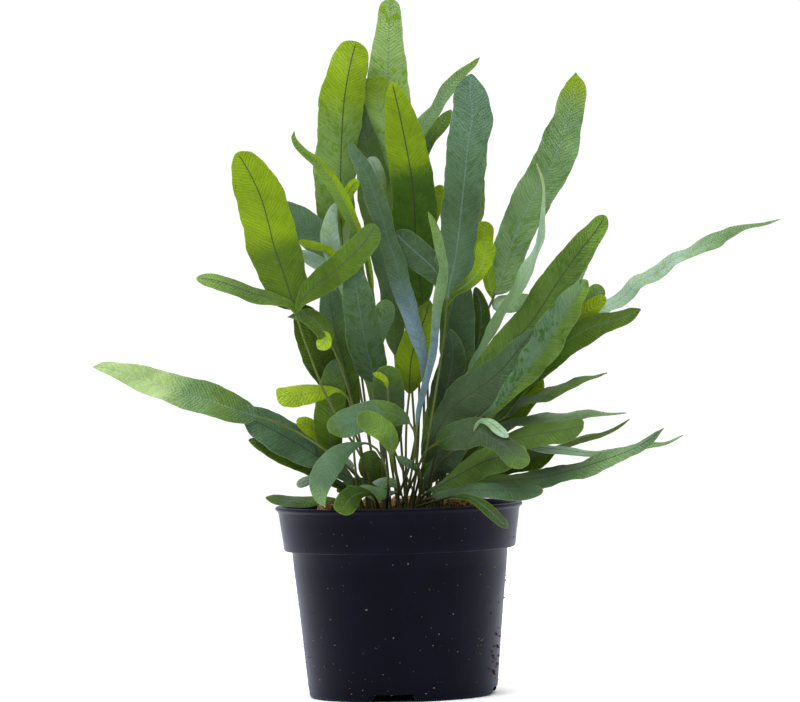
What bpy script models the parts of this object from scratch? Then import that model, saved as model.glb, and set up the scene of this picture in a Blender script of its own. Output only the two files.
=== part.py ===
"""Potted blue star fern: a nursery pot, its soil, a creeping rhizome and a node for each frond.

The fronds are laid out as seen from the front. A point of the table is (x, z, half width) in millimetres,
read straight ahead at the pot's axis, and its depth comes from the frond's lean. Where the half width is 0
the frond is still stalk. The depths are then eased apart until no frond crosses another, and everything is
moved to its true place along the line of sight.
"""

import math

import bmesh
import bpy
import numpy as np
from mathutils import Matrix

MM = 0.001

# The eye that the front view is read from, in millimetres.
EYE_DISTANCE = 2200.0
EYE_HEIGHT = 185.0

# Pot, in millimetres.
POT_HEIGHT = 92.6
RIM_RADIUS = 60.0
BAND_TOP_RADIUS = 58.6
BAND_FOOT_RADIUS = 56.2
BAND_FOOT_HEIGHT = 71.0
BODY_TOP_RADIUS = 52.4
BODY_FOOT_RADIUS = 45.8
FOOT_EDGE = 1.6
WALL = 1.3
FLOOR_LIFT = 4.0
POT_SIDES = 48
NOTCH_WIDTH = 21.0
NOTCH_HEIGHT = 3.4
NOTCH_TURN = math.radians(-96.0)
NOTCH_COUNT = 4
NOTCH_DEPTH = 14.0
DRAIN_RADIUS = 4.0
DRAIN_RING = 27.0
DRAIN_COUNT = 6
GATE_RADIUS = 5.0
GATE_SIDES = 9
GAP = 0.3

# Soil and rhizome.
SOIL_TOP = 87.0
SOIL_CROWN = 0.8
HOLE_DEPTH = 6.0
HOLE_SIDES = 6
HOLE_RADIUS = 1.46
RHIZOME_RADIUS = 3.6

# Fronds.
STALK_RADIUS = 0.95
BLADE_THICKNESS = 0.72
RIB_THICKNESS = 0.95
ROOT_SPACING = 3.3
ROOT_DEPTH = 21.5
FREE_GAP = 1.3
CELL = 2.0
CLEAR_ABOVE = 5.0
SPRING = 0.985
SPREAD = 8.0
EASE_IN = 12.0
NARROWEST = 0.55
STALK_PACE = 32.0
BLADE_PACE = 13.5
TIP_RINGS = (0.28, 0.0)


def frond(name, layer, root, lean, path, turn=(0, 0), fold=(6, 6), tip=(5, 1.8), foot=9, wave=(0.8, 30),
          flutter=(0, 20), bow=1.4, stalk=STALK_RADIUS, lobes=()):
    """One row of the table: a frond with its lobes, widths and depths in millimetres, angles in degrees."""
    return dict(name=name, layer=layer, root=root, lean=lean, path=path, turn=turn, fold=fold, tip=tip, foot=foot,
                wave=wave, flutter=flutter, bow=bow, stalk=stalk, lobes=lobes)


def lobe(path, lean, turn=(0, 0), fold=(6, 6), tip=(4, 2.0), foot=7, wave=(0.5, 26)):
    """A side lobe that starts on its frond's midline; its lean is measured from the frond there."""
    return dict(path=path, lean=lean, turn=turn, fold=fold, tip=tip, foot=foot, wave=wave, flutter=(0, 20),
                bow=1.0, stalk=0.62)


def tall_fronds():
    """The upright fronds of the middle."""
    return [
        frond("frond_tall_back", 3, 10, 46,
              ((9, 120, 0), (7, 165, 0), (5, 195, 0), (3, 222, 8), (1.5, 250, 10), (0.4, 285, 10.4),
               (-0.1, 303, 9.8), (0.7, 318, 7.2), (1.5, 330, 5.8), (1.8, 337.8, 4.6)),
              turn=(8, 8), tip=(4, 2.2), foot=16,
              lobes=[lobe(((3.2, 218, 0), (2.6, 240, 2), (2.4, 258, 4.6), (-0.8, 273, 5.8), (-5.4, 288, 7),
                           (-6.6, 300.3, 6)), -7, tip=(3, 2.6))]),
        frond("frond_left_tall", 1, -8, 34,
              ((-13, 120, 0), (-19, 160, 0), (-23, 200, 0), (-24.6, 222, 10.5), (-25, 240, 12.4),
               (-24.6, 252, 12.9), (-23.6, 270, 12), (-21.7, 290, 11.9), (-19.4, 302, 10.4),
               (-17.2, 311, 8.6), (-15, 317.6, 6.4)),
              turn=(56, 4), fold=(30, 12), tip=(4, 2.2), foot=16,
              lobes=[lobe(((-24.7, 226, 0), (-22.8, 239, 2.2), (-19.8, 246, 3), (-15.8, 250.3, 2.6)), -13,
                          turn=(-20, -20), tip=(3, 2))]),
        frond("frond_dark_behind", 1.6, 4, 18,
              ((2, 120, 0), (0, 165, 0), (-1, 195, 6), (-3.5, 220, 9), (-7.5, 243, 9.2), (-10, 260, 7.2),
               (-11.8, 270, 5.8), (-13.6, 281, 3.8), (-14.4, 291, 1.8)),
              turn=(-12, -12), tip=(6, 1.5), foot=16,
              lobes=[lobe(((-3.5, 224, 0), (-4.8, 240, 2.5), (-5.5, 250, 3.2), (-7.5, 256, 3.6),
                           (-10, 261.3, 3)), -9, tip=(3, 2))]),
        frond("frond_centre_front", -2, 12, 2,
              ((13, 120, 0), (14, 160, 0), (14, 188, 0), (13, 200, 7), (12, 212, 9.5), (11.2, 225, 10.8),
               (11.2, 235, 11), (10.7, 246, 10.6), (9, 259, 10.1), (7.2, 270, 9.4), (5.4, 280, 7.9),
               (3.6, 289, 5.4), (1.7, 297.6, 2.8)), turn=(6, -4), fold=(-7, -4), tip=(5, 1.6), foot=12),
        frond("frond_pale_narrow", 0.8, 14, 26,
              ((15, 120, 0), (15.5, 170, 0), (15.5, 215, 0), (14.6, 245, 0), (14.2, 262, 3.5),
               (14.8, 272.5, 5), (18.2, 278.4, 4.4), (22.6, 283.4, 3.5), (25.2, 288, 3.5),
               (28, 292.6, 3.9), (32.2, 297.2, 3.2), (36.8, 301.6, 2.5), (41, 304.8, 1.8),
               (44.6, 308.4, 1)),
              turn=(-30, -26), fold=(-4, -4), tip=(4, 1.5),
              lobes=[lobe(((14.4, 250, 0), (16.5, 261, 2), (20, 270, 3), (24, 275, 3.5),
                           (27.8, 279.8, 2.8), (30.2, 283.4, 1.2)), -6),
                     lobe(((15.4, 214, 0), (19, 228, 2.5), (22, 238, 3.4), (24.3, 247, 3)), -4,
                          tip=(3.5, 2))]),
        frond("frond_blue_lobed", -6, 8, -22,
              ((14, 118, 0), (19, 145, 0), (21.8, 160, 0), (24.2, 175, 0), (26, 191, 0), (27.6, 200, 7.6),
               (30, 209, 10.3), (31.2, 216, 8.9), (32.3, 223, 9), (34, 236, 9.6), (35.8, 250, 9.8),
               (37.2, 261, 10), (38.6, 271, 10.2), (40.2, 278.5, 10.8), (40.2, 285, 8.9), (39.5, 291, 8.2),
               (40.2, 300.6, 4)),
              turn=(8, 10), fold=(5, 5), tip=(7, 1.7), wave=(1.5, 31),
              lobes=[lobe(((25.7, 188, 0), (29, 194, 1.8), (34, 197.2, 2.8), (40, 202.4, 3.6),
                           (43.7, 208.8, 4.6), (45, 214, 5), (45.8, 219.2, 4.6)), -15, turn=(-30, -10),
                          tip=(4, 2.2)),
                     lobe(((25.8, 190, 0), (24, 199, 4), (19.5, 206.5, 6.5), (12.5, 213.5, 7.3),
                           (6.5, 219, 6.7), (1.6, 224.5, 5.4)), -6, turn=(18, 10), tip=(5, 2))]),
        frond("frond_right_tall", -0.5, 16, 18,
              ((22, 120, 0), (32, 150, 0), (43, 180, 0), (49, 193, 0), (52, 200, 8.2), (55.4, 210, 8.3),
               (59.4, 220.5, 8.5), (64.2, 231, 9.2), (69.4, 241, 9.6), (75.5, 250.5, 9.6),
               (80.8, 260.5, 9.7), (84, 270, 8.9), (86.4, 277, 7.6), (88, 284, 6.7), (90.3, 291, 6.2),
               (91, 300, 2.4)),
              turn=(-12, 12), fold=(-8, -4), tip=(5, 1.3), foot=8, wave=(1.9, 22),
              lobes=[lobe(((48.2, 191, 0), (46, 203, 3), (44, 214, 4.8), (44.4, 222, 5),
                           (45.2, 228.8, 4.4)),
                          -4, tip=(4.5, 2.2)),
                     lobe(((47.6, 189.5, 0), (50, 188.8, 4.5), (58, 189, 5), (67, 190, 4)), -6,
                          turn=(-28, -28), foot=4)]),
        frond("frond_edge_on", -3.8, 18, -26,
              ((24, 125, 0), (36, 155, 0), (47, 175, 5), (53, 184, 7), (59, 193, 7.5), (64.5, 202, 7.5),
               (69, 210.5, 6.5), (72, 218.5, 5.5), (73.2, 227, 3.2), (74.3, 237, 2.2), (74, 247, 1.8),
               (71, 256.3, 1)), turn=(-66, -70), fold=(-6, -6), tip=(6, 1.2)),
        frond("frond_blue_strap", -7.2, 2, -30,
              ((6, 112, 0), (10.5, 132, 0), (13.3, 148, 0), (13.8, 160, 1.9), (12, 170, 3.3),
               (9.2, 180, 4.2), (6.5, 190, 4.7), (3.4, 200, 5.2), (1.5, 210, 5.4), (-1.8, 220, 4.4),
               (-4, 230, 5), (-7.3, 240, 5.2), (-10.5, 250, 4.7), (-15, 259.5, 3.7), (-18.5, 265.5, 2.3),
               (-20.5, 269, 1.1)),
              turn=(12, 12), fold=(10, 8), tip=(4, 1.3), wave=(0.8, 24)),
        frond("frond_narrow_twisted", -7.4, 7, -34,
              ((8.5, 105, 0), (9.5, 128, 0), (11, 138, 1.5), (13.5, 147, 2), (16.5, 158, 2),
               (19, 168, 2.2), (20, 178, 2.5), (21.5, 190, 2.9), (24, 200, 3.1), (24.8, 207, 2.9),
               (23.4, 214, 2.8), (21.8, 223, 2.6), (19.9, 229, 1.8), (17.8, 234, 1)),
              turn=(28, 34), tip=(4, 1.6)),
        frond("frond_hooked_left", -5.2, -3, -26,
              ((-4, 120, 0), (-7, 160, 0), (-10, 195, 0), (-13, 215, 1.9), (-17.3, 227, 3),
               (-21.2, 236, 3.6), (-25.7, 245.5, 4), (-30.7, 253.5, 3.8), (-36.2, 260.2, 2.7),
               (-41, 264, 2), (-45, 268.2, 1.8), (-46.6, 271.5, 1.3), (-46.3, 274.8, 0.8)),
              turn=(-22, -18), fold=(-20, -12), tip=(3, 1.3)),
    ]


def left_fronds():
    """The fronds that fan out to the left."""
    return [
        frond("frond_left_lobed", -7.5, -12, -48,
              ((-16, 112, 0), (-27, 132, 0), (-36.5, 152, 0), (-41, 165, 0), (-46, 180, 0),
               (-48.3, 188, 0), (-51.2, 199, 10.8), (-54.6, 210, 12.2), (-57.8, 220, 12.9),
               (-59.9, 230, 12.8), (-63.4, 243, 12), (-67.6, 253, 10.2), (-71.3, 260, 7.3),
               (-74.6, 265, 4)),
              turn=(8, 12), fold=(7, 7), tip=(5, 2), foot=9,
              lobes=[lobe(((-47.8, 186, 0), (-50.5, 191, 2.4), (-58, 193.4, 3.9), (-67, 195.8, 4.7),
                           (-77, 199.8, 5.1), (-87, 203.2, 4.7), (-95.6, 204.5, 3)), -5, turn=(36, 42),
                          tip=(5, 2)),
                     lobe(((-47.8, 186, 0), (-45.5, 191.5, 2.6), (-40.5, 197, 5.4), (-34.6, 201.6, 6.7),
                           (-25.6, 208.4, 7), (-17, 216.2, 6.9), (-11.6, 222.4, 6), (-8.2, 228.6, 3.8)), 3,
                          turn=(-12, -12), tip=(5, 2.2))]),
        frond("frond_curl_left", -6.9, -16, -40,
              ((-17, 115, 0), (-21, 140, 0), (-26, 158, 0), (-31, 171, 0), (-34.6, 178, 4.4),
               (-38.6, 182.8, 5), (-43.5, 185.2, 3.8), (-47.6, 185.2, 2), (-51.8, 184.6, 0.9)),
              turn=(10, 24), fold=(10, 16),
              tip=(4, 1.5), foot=5,
              lobes=[lobe(((-34.4, 177.6, 0), (-33.6, 174.4, 3), (-34.6, 171.4, 3.8),
                           (-37.2, 168.8, 2.8)), -4,
                          turn=(12, 12), tip=(3.5, 2), foot=4)]),
        frond("frond_yellow_left", -6.8, -18, -50,
              ((-21, 115, 0), (-21.5, 135, 0), (-24, 145.5, 0), (-29, 148.6, 1.6), (-36, 148, 4),
               (-44, 147, 5.3), (-51, 146.2, 5.8), (-58, 146.2, 4.8)), turn=(25, 25), tip=(3.2, 2.6)),
        frond("frond_vertical_left", -6, -20, -32,
              ((-22, 105, 0), (-28, 114, 0), (-32.3, 122, 6.5), (-32.6, 132, 7.6), (-31.6, 145, 7.3),
               (-30.2, 155, 5.6), (-28.8, 163.5, 3.1)), turn=(10, 4), tip=(5, 2.2),
              lobes=[lobe(((-28, 114, 0), (-33, 121, 2.5), (-38.5, 127.8, 3.9), (-43.3, 132, 4.2),
                           (-48.4, 134.9, 3)), 9, turn=(25, 25), tip=(3.5, 2))]),
        frond("frond_longest_left", -6.2, -14, -36,
              ((-20, 106, 0), (-35, 119.5, 0), (-50, 129.5, 0), (-60, 134.3, 0), (-67.5, 136.6, 0),
               (-74, 138.7, 6.6), (-80, 140.8, 8.7), (-90, 144.8, 9.2), (-100, 147.8, 8.9),
               (-110, 151.2, 8.7), (-120, 154.6, 7.7), (-130, 158.6, 5.9), (-140, 161.8, 3.6),
               (-146.9, 162.7, 1.5)),
              turn=(30, 30), fold=(-8, -8), tip=(5, 1.6), foot=7),
        frond("frond_slate_left", -5.5, -18, -40,
              ((-22, 103, 0), (-32, 112, 4), (-42, 118.8, 8), (-52, 125, 9.4), (-61, 130.4, 9.8),
               (-68.5, 134.2, 8), (-75.5, 137, 3.6)), turn=(25, 25), tip=(6, 1.6)),
        frond("frond_dark_left_low", -5, -20, -34,
              ((-24, 99, 0), (-34, 105.6, 2.8), (-44, 111.6, 4.5), (-54, 117, 4.9), (-64, 122, 4.4),
               (-72.2, 125.4, 2.1)), turn=(35, 35), tip=(5, 1.8),
              lobes=[lobe(((-27, 101, 0), (-34, 104.8, 1.2), (-40, 106, 1.6), (-45, 104.6, 2.4),
                           (-49.3, 102.6, 2)), -13, tip=(2.5, 2))]),
        frond("frond_drooping_left", -9, -6, -60,
              ((-5, 105, 0), (-7.4, 114.5, 0), (-10.6, 120, 0), (-15.2, 122.4, 0), (-19.5, 121.8, 2),
               (-23.6, 120.4, 3.2), (-28, 117.8, 5), (-32.8, 113, 6.5), (-36.4, 107, 6.6),
               (-38.2, 101.3, 5.1), (-37.8, 96.3, 3.1), (-35.8, 91.9, 1.1)),
              turn=(15, 12), tip=(4, 1.4), foot=8),
        frond("frond_over_rim_left", -8.2, -22, -20,
              ((-28, 94, 0), (-36, 95.4, 2.6), (-46, 95, 4), (-56, 95.6, 4.2), (-64.6, 97.2, 2)),
              turn=(45, 45), tip=(4, 1.8), bow=1.0),
        frond("frond_blue_left_back", 0.5, -10, 14,
              ((-13, 120, 0), (-17, 160, 0), (-20, 190, 0), (-25, 206, 6), (-32.5, 217.5, 7.6),
               (-39.5, 226, 8.2), (-46, 231.6, 7.6), (-52.5, 236, 5.8), (-58, 239, 3.2)),
              turn=(8, 8), tip=(6, 1.8)),
        frond("frond_pale_upright", -4.8, -5, -18,
              ((-8, 120, 0), (-13, 160, 0), (-19, 188, 0), (-24.8, 204, 3.8), (-29.4, 217, 4.8),
               (-30.2, 226, 4.3), (-28.9, 234, 2.9), (-27.1, 239.6, 1.4)), turn=(14, 14), tip=(4, 1.8),
              lobes=[lobe(((-20, 191, 0), (-26.5, 203, 1.6), (-33, 208.6, 3.2), (-39.4, 212.4, 3.4),
                           (-46.4, 217, 1.2)), -3),
                     lobe(((-19.5, 189.5, 0), (-24, 207, 1), (-30, 216, 1.8), (-36.5, 218.6, 2),
                           (-45.8, 221.2, 1.5)), -9)]),
        frond("frond_dark_left", -3.1, -14, -22,
              ((-17, 115, 0), (-23, 135, 0), (-30, 150, 6), (-35.5, 163, 8.4), (-40, 175, 8.4),
               (-43, 184, 6.6), (-46, 191, 3)), turn=(12, 12), tip=(5, 1.6),
              lobes=[lobe(((-22, 132, 0), (-22, 150, 4.5), (-25, 163, 6), (-28.5, 177, 6.8),
                           (-30.5, 190, 6.2), (-31.5, 199, 3.4)), -9, turn=(-14, -14))]),
        frond("frond_large_blue", -5.6, -6, -36,
              ((-7, 120, 0), (-9, 140, 0), (-10.3, 151.5, 0), (-12, 161, 8), (-14, 170, 9),
               (-15.7, 180, 8.6), (-17.3, 192, 7.6), (-18.5, 201, 6), (-19.5, 209, 3.4)),
              turn=(6, 6), fold=(6, 6), tip=(7, 1.6),
              foot=8,
              lobes=[lobe(((-9.8, 147, 0), (-8.6, 164, 1), (-7, 176, 3.4), (-5, 184, 5.3),
                           (-3.3, 191.9, 3.8)),
                          9, tip=(4, 2.2))]),
    ]


def right_fronds():
    """The fronds that fan out to the right."""
    return [
        frond("frond_right_strap", -5, 13, -34,
              ((18, 115, 0), (27, 133, 0), (38, 148, 7.6), (47.3, 158.8, 8.8), (57.5, 169.2, 9.5),
               (65.5, 177.7, 9.6), (72.5, 187.2, 9.5), (79.5, 197.5, 9.2), (86.5, 207, 8.5),
               (92.7, 215, 7), (99, 222.6, 5.6), (104, 230, 4)),
              turn=(-28, -24), fold=(-6, -6), tip=(5.5, 2)),
        frond("frond_slate_low", -5.8, 9, -42,
              ((13, 112, 0), (20, 128, 5), (30, 141, 10), (40, 147.5, 11.2), (50, 155, 9.4), (60, 166, 6),
               (70, 177.9, 2)), turn=(-20, -32), fold=(8, 8), tip=(8, 1.1)),
        frond("frond_wavy_right", -6.4, 14, -54,
              ((18, 108, 0), (28, 119, 0), (38, 128.5, 0), (47, 136.6, 2.4), (53, 143.6, 3.6),
               (59.2, 150.2, 5.6), (64.8, 157, 7), (70.6, 164, 8.4), (77, 174, 8.7), (81.8, 181.4, 8.2),
               (86.4, 188, 6.6), (91, 194.3, 4.8), (94.2, 199, 3)),
              turn=(-15, -25), fold=(-12, -8), tip=(4.5, 2.2), wave=(1.7, 18)),
        frond("frond_yellow_pair", -2.7, 19, -18,
              ((28, 118, 0), (45, 140, 0), (64, 158, 0), (78, 170, 3), (88, 179, 4), (96, 185.6, 4.1),
               (103, 190.6, 2.7)), turn=(-12, -12), tip=(4, 2),
              lobes=[lobe(((64, 158, 0), (78, 173.5, 2), (88, 183, 4), (95, 189.7, 4.9),
                           (101.6, 195.6, 4.2)),
                          -4, turn=(-16, -16), tip=(4, 2.2))]),
        frond("frond_far_right", -1.5, 20, -6,
              ((30, 112, 0), (50, 132, 0), (70, 152, 0), (88, 172, 3.4), (97, 181, 4.6), (103, 186, 4.8),
               (109, 188.8, 4.6), (113.6, 192, 4.1), (118.4, 197.2, 5.2), (124, 200, 4.5),
               (130.4, 203.2, 3.9), (137, 208.4, 4.6), (144.6, 211.4, 2.8), (150, 213.8, 4),
               (156, 216.4, 6), (161, 219.2, 3.6), (167, 221.4, 2.6), (173, 223.2, 1.6), (181, 224.2, 1),
               (188.8, 226.4, 0.7)),
              turn=(-42, -38), fold=(0, 0), tip=(6, 1.3), wave=(1.3, 20)),
        frond("frond_olive_right", -3.4, 17, -26,
              ((26, 112, 0), (45, 131, 0), (58, 147, 5.2), (70, 159.2, 7.6), (82, 168.3, 8.2),
               (92, 174.4, 7.6), (100, 177.6, 6.2), (106, 179, 5.3), (112, 180.8, 4.7),
               (119.9, 184.3, 2.4)), turn=(-30, -35), tip=(5, 1.5)),
        frond("frond_wavy_low", -3.2, 15, -30,
              ((24, 108, 0), (38, 124, 0), (48, 134, 5), (57, 139.5, 7), (66, 142.8, 7.2),
               (76, 145.6, 6.6), (84, 148.2, 5), (92, 151.2, 3.6), (98, 152.4, 2.1), (102.8, 153.8, 0.8)),
              turn=(-67, -65),
              tip=(4, 1.2), flutter=(5, 18),
              lobes=[lobe(((37, 123, 0), (48, 127.6, 5), (56, 131, 6.5), (66, 132.5, 7), (78, 132.9, 7),
                           (88, 134.2, 6.5), (95, 134.6, 4.5), (102, 133.8, 2), (111.6, 134.1, 0.9)), -9,
                          turn=(-68, -70), tip=(4, 1.3))]),
        frond("frond_olive_behind", -2.4, 19, -10,
              ((28, 110, 0), (40, 122, 4), (50, 131.5, 7), (60, 141, 7.6), (66, 147, 6.6),
               (71.3, 152.4, 3.4)),
              turn=(-22, -22), tip=(4, 1.8)),
        frond("frond_folded_front", -7.8, 6, -64,
              ((9, 108, 0), (14, 118, 0), (19, 121.4, 0), (23, 123.6, 6.5), (28, 125.4, 8.4),
               (35, 126.8, 8.6), (41, 126.2, 7.6), (47.4, 122.8, 5.8), (52.6, 119, 5.6), (57, 114.8, 6.8),
               (60.8, 108.6, 5.4)),
              turn=(-32, -20), fold=(7, 7), tip=(6, 2.3), foot=6,
              lobes=[lobe(((37, 126.8, 0), (40.4, 131.8, 1), (45.2, 131, 2.2), (49.6, 127.2, 2.7),
                           (54, 123.6, 1.6)), -9, turn=(-20, -20), tip=(3, 1.8), foot=3)]),
        frond("frond_rounded_right", -3.6, 16, -44,
              ((22, 104, 0), (36, 114, 0), (50, 121, 4.6), (60, 123.2, 6.8), (70, 124.8, 7.7),
               (80, 126.2, 7.7), (90.7, 128, 5.7)), turn=(-42, -42), tip=(6, 2.2),
              lobes=[lobe(((44, 118.6, 0), (60, 119.8, 3.5), (70, 118.2, 4.2), (80, 116.9, 4.2),
                           (92, 115.2, 4), (103, 114.9, 4), (113, 116.7, 4), (122, 118.6, 3.6),
                           (130, 118.8, 1.6), (139, 122.6, 0.8)), -11, turn=(-64, -64), tip=(5, 1.3))]),
        frond("frond_dark_olive", -1.8, 18, -22,
              ((24, 100, 0), (36, 106, 3), (48, 110, 6), (60, 112.6, 7.5), (69, 113.6, 6),
               (77, 115.8, 2.3)),
              turn=(-38, -38), tip=(4, 1.5),
              lobes=[lobe(((30, 103, 0), (46, 109.6, 1), (60, 113.6, 2), (72, 116.6, 2.8),
                           (82, 119.6, 3.5), (91, 122.3, 4), (100, 124.3, 3.6), (107, 127.2, 2),
                           (113.2, 131, 0.9)), 7,
                          turn=(-68, -68), tip=(4, 1.3))]),
        frond("frond_long_low_right", -6.6, 10, -50,
              ((16, 96, 0), (28, 99, 4), (42, 101.5, 6.5), (55, 102.7, 7.6), (67, 103.3, 8.1),
               (78, 105.2, 7.9), (88, 107.6, 7.6), (98, 110.6, 7.1), (108, 114, 6.3), (116, 117, 5),
               (123, 121, 3.3), (129.6, 126.2, 1.2)), turn=(-56, -56), tip=(5, 1.3)),
        frond("frond_dark_back", -1.6, 15, 4,
              ((18, 115, 0), (22, 132, 0), (24.5, 140, 5), (28, 152, 7), (31, 168, 7.6), (33, 184, 6.2),
               (34.5, 199, 3.6)), turn=(-10, -10), tip=(5, 1.8),
              lobes=[lobe(((21, 128, 0), (31, 148, 3), (38, 163, 4.3), (42, 178, 4.9), (42, 188, 3.7),
                           (39.8, 197, 1.6)), -7)]),
        frond("frond_teal_back", -2.5, 11, -8,
              ((11, 99, 0), (13, 104, 0), (14.8, 109, 4), (17.9, 123, 6.6), (21.4, 138, 7.6),
               (25.2, 150, 7.9), (27.8, 162, 6.8), (28, 169.5, 4.8), (27.2, 177, 2.2)),
              turn=(-15, -15), tip=(5, 1.5), foot=6),
    ]


def low_fronds():
    """The low, arching and drooping fronds in front of the crown."""
    return [
        frond("frond_olive_centre", -4.5, 4, -14,
              ((4, 115, 0), (5, 135, 0), (6.4, 146, 0), (7, 154, 6.6), (7.8, 162, 8.3), (9.8, 169.5, 8),
               (13, 177.6, 6.9), (15.6, 184.3, 5.4), (17.6, 191, 3)), turn=(-14, -14), tip=(6, 1.5)),
        frond("frond_slate_arch", -6.1, 0, -42,
              ((-1, 110, 0), (-2, 118, 0), (-2.8, 127, 5.5), (-3.4, 138, 7.5), (-3.6, 147, 7.6),
               (-4, 153.5, 7), (-4.5, 159.8, 5)), tip=(5, 2.2), turn=(6, 0)),
        frond("frond_young", -6.3, 2, -48,
              ((-2, 115, 0), (-4, 132, 0), (-4.2, 149, 0), (-5.2, 153, 1.3), (-8, 155.2, 1.6),
               (-11, 156.2, 1)),
              tip=(2, 1.6), foot=3, stalk=0.7),
        frond("frond_arch_left", -9.5, 3, -80,
              ((7, 110, 0), (8.8, 121, 0), (8.6, 127, 0), (6.2, 131.6, 0), (2.5, 134.4, 5), (-5, 137, 7),
               (-13, 136.6, 7.6), (-21, 133.8, 7.6), (-27.5, 131, 6.6), (-33.2, 129, 4.2)),
              turn=(22, 25), tip=(5.5, 2.2), foot=8),
        frond("frond_lime_front", -10, 0, -92,
              ((0, 102, 0), (-2, 111, 0), (-2.8, 116, 1.2), (-2.8, 121.4, 3.8), (-5, 127, 5.4),
               (-9.5, 130.6, 5.6), (-14, 133, 5.2), (-19.2, 134.5, 3.6)), turn=(10, 12), fold=(7, 7),
              tip=(4.5, 2.2), foot=5),
        frond("frond_over_rim_front", -9.2, -9, -73,
              ((-13, 97.5, 0), (-17, 98.5, 2.5), (-21, 97.6, 5), (-24.5, 94.8, 5.8), (-28.5, 88.6, 4.6)),
              turn=(6, 6), tip=(4, 2.2), bow=0.6, foot=5),
        frond("frond_pale_low", -8.5, 1, -46,
              ((3, 95, 0), (0, 98, 0), (-4, 98, 1.6), (-10, 98, 4), (-15.5, 99.2, 4), (-20.3, 99.4, 1.3)),
              turn=(32, 32), tip=(3, 1.4), foot=5,
              lobes=[lobe(((0, 98, 0), (-0.5, 101, 1.3), (-3.5, 103, 2.4), (-8, 102.8, 2.7),
                           (-12.6, 103.2, 1.1)), 5, foot=4)]),
        frond("frond_over_rim_right", -8.7, 5, -63,
              ((18, 93.4, 0), (27, 95.6, 0), (35, 94.6, 1.8), (41, 90.8, 2.8), (46.6, 85.6, 3),
               (52.8, 79.6, 2)), turn=(-14, -10), tip=(4, 1.7), bow=0.6, foot=5),
        frond("frond_low_right_front", -8.4, 7, -62,
              ((11, 93, 0), (16, 95, 0), (24, 97.2, 4.4), (35, 98.2, 5.9), (48, 97.8, 6.4),
               (60, 97.2, 6.4), (69.8, 96.2, 4.4)), turn=(-52, -52), tip=(6, 2.2), bow=1.1, foot=10),
        frond("frond_low_middle", -7, 8, -56,
              ((13, 97, 0), (19, 100.2, 2.5), (28, 104.8, 6), (36, 109, 8.6), (45, 112.8, 9.4),
               (54, 114, 9.1), (62, 113, 6)), turn=(-42, -42), tip=(7, 2)),
        frond("frond_dark_slate_low", -4.2, 11, -26,
              ((12, 99, 0), (15, 105, 4), (20, 111, 6), (27, 116.3, 6.6), (35, 121, 3.3)), turn=(-32, -32),
              tip=(5, 1.6)),
        frond("frond_small_blue", -7.6, 9, -30,
              ((10.5, 100, 0), (10.8, 107.5, 0), (8, 110.5, 1.7), (4, 112.9, 2.3), (-0.6, 115.9, 1.1)),
              turn=(18, 18), tip=(3, 1.4), foot=3, stalk=0.75),
        frond("frond_olive_low", -4.6, -4, -12,
              ((-5, 98, 0), (-8, 103.5, 3.5), (-12.5, 109, 6.4), (-13, 114, 5.6), (-11.5, 118.8, 3)),
              turn=(-10, -10), tip=(4, 1.8), foot=5,
              lobes=[lobe(((-5, 98, 0), (-9, 99.8, 2.2), (-16, 102, 4.4), (-24, 101.4, 4.2),
                           (-30, 99.4, 2)),
                          -10, turn=(28, 28), foot=4)]),
    ]


def back_fronds():
    """The fronds behind, which the front view hides."""
    return [
        frond("frond_back_left", 4, -4, 86,
              ((-6, 120, 0), (-12, 160, 0), (-18, 192, 7), (-24, 222, 10.5), (-27.5, 248, 10.5),
               (-28.5, 268, 7.4), (-28, 282, 3)), turn=(24, 30), tip=(6, 1.6), wave=(1.3, 30)),
        frond("frond_back_right", 4.2, 18, 82,
              ((22, 120, 0), (27, 160, 0), (31, 198, 8), (35, 230, 9.8), (37.5, 257, 8.6),
               (38.6, 274, 5.5), (39, 287, 2.5)), turn=(-26, -30), tip=(6, 1.6), wave=(1.3, 30)),
        frond("frond_back_low_left", 5, -12, 92,
              ((-22, 110, 0), (-34, 120.5, 5), (-46, 127, 8.4), (-58, 132, 8.4), (-68, 136, 6),
               (-76, 139.4, 3)),
              turn=(52, 52), tip=(5, 1.6)),
        frond("frond_back_low_right", 5.2, 18, 96,
              ((28, 120, 0), (44, 143, 6), (58, 160, 9), (71, 178, 9), (83, 196, 7.4), (93, 211, 4)),
              turn=(-30, -30), tip=(5, 1.6), wave=(1.3, 30)),
        frond("frond_back_centre", 5.4, 8, 104,
              ((2, 110, 0), (-5, 128, 0), (-9.5, 150, 5), (-13, 168, 7.2), (-14.5, 188, 6), (-15, 204, 3)),
              turn=(14, 14), tip=(5, 1.6)),
        frond("frond_back_tall", 4.6, 9, 66,
              ((10, 120, 0), (11.5, 165, 0), (10.8, 196, 7), (10.4, 226, 9.4), (8.6, 254, 8.6),
               (6.6, 274, 4)),
              turn=(-20, -14), tip=(5, 1.6)),
    ]


def eased(knots, values, at):
    """A smooth curve through the values: cubic pieces whose slope at a knot is the mean of its two chords."""
    knots = np.asarray(knots, float)
    values = np.asarray(values, float)
    chords = np.diff(values, axis=0) / np.diff(knots)[:, None]
    slopes = np.vstack([chords[:1], (chords[1:] + chords[:-1]) / 2, chords[-1:]])
    i = np.clip(np.searchsorted(knots, at, side="right") - 1, 0, len(knots) - 2)
    span = (knots[i + 1] - knots[i])[:, None]
    u = (at - knots[i])[:, None] / span
    return ((2 * u**3 - 3 * u**2 + 1) * values[i] + (u**3 - 2 * u**2 + u) * span * slopes[i]
            + (3 * u**2 - 2 * u**3) * values[i + 1] + (u**3 - u**2) * span * slopes[i + 1])


def step_up(x):
    """0 to 1 with level ends."""
    x = np.clip(x, 0.0, 1.0)
    return x * x * (3 - 2 * x)


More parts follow.
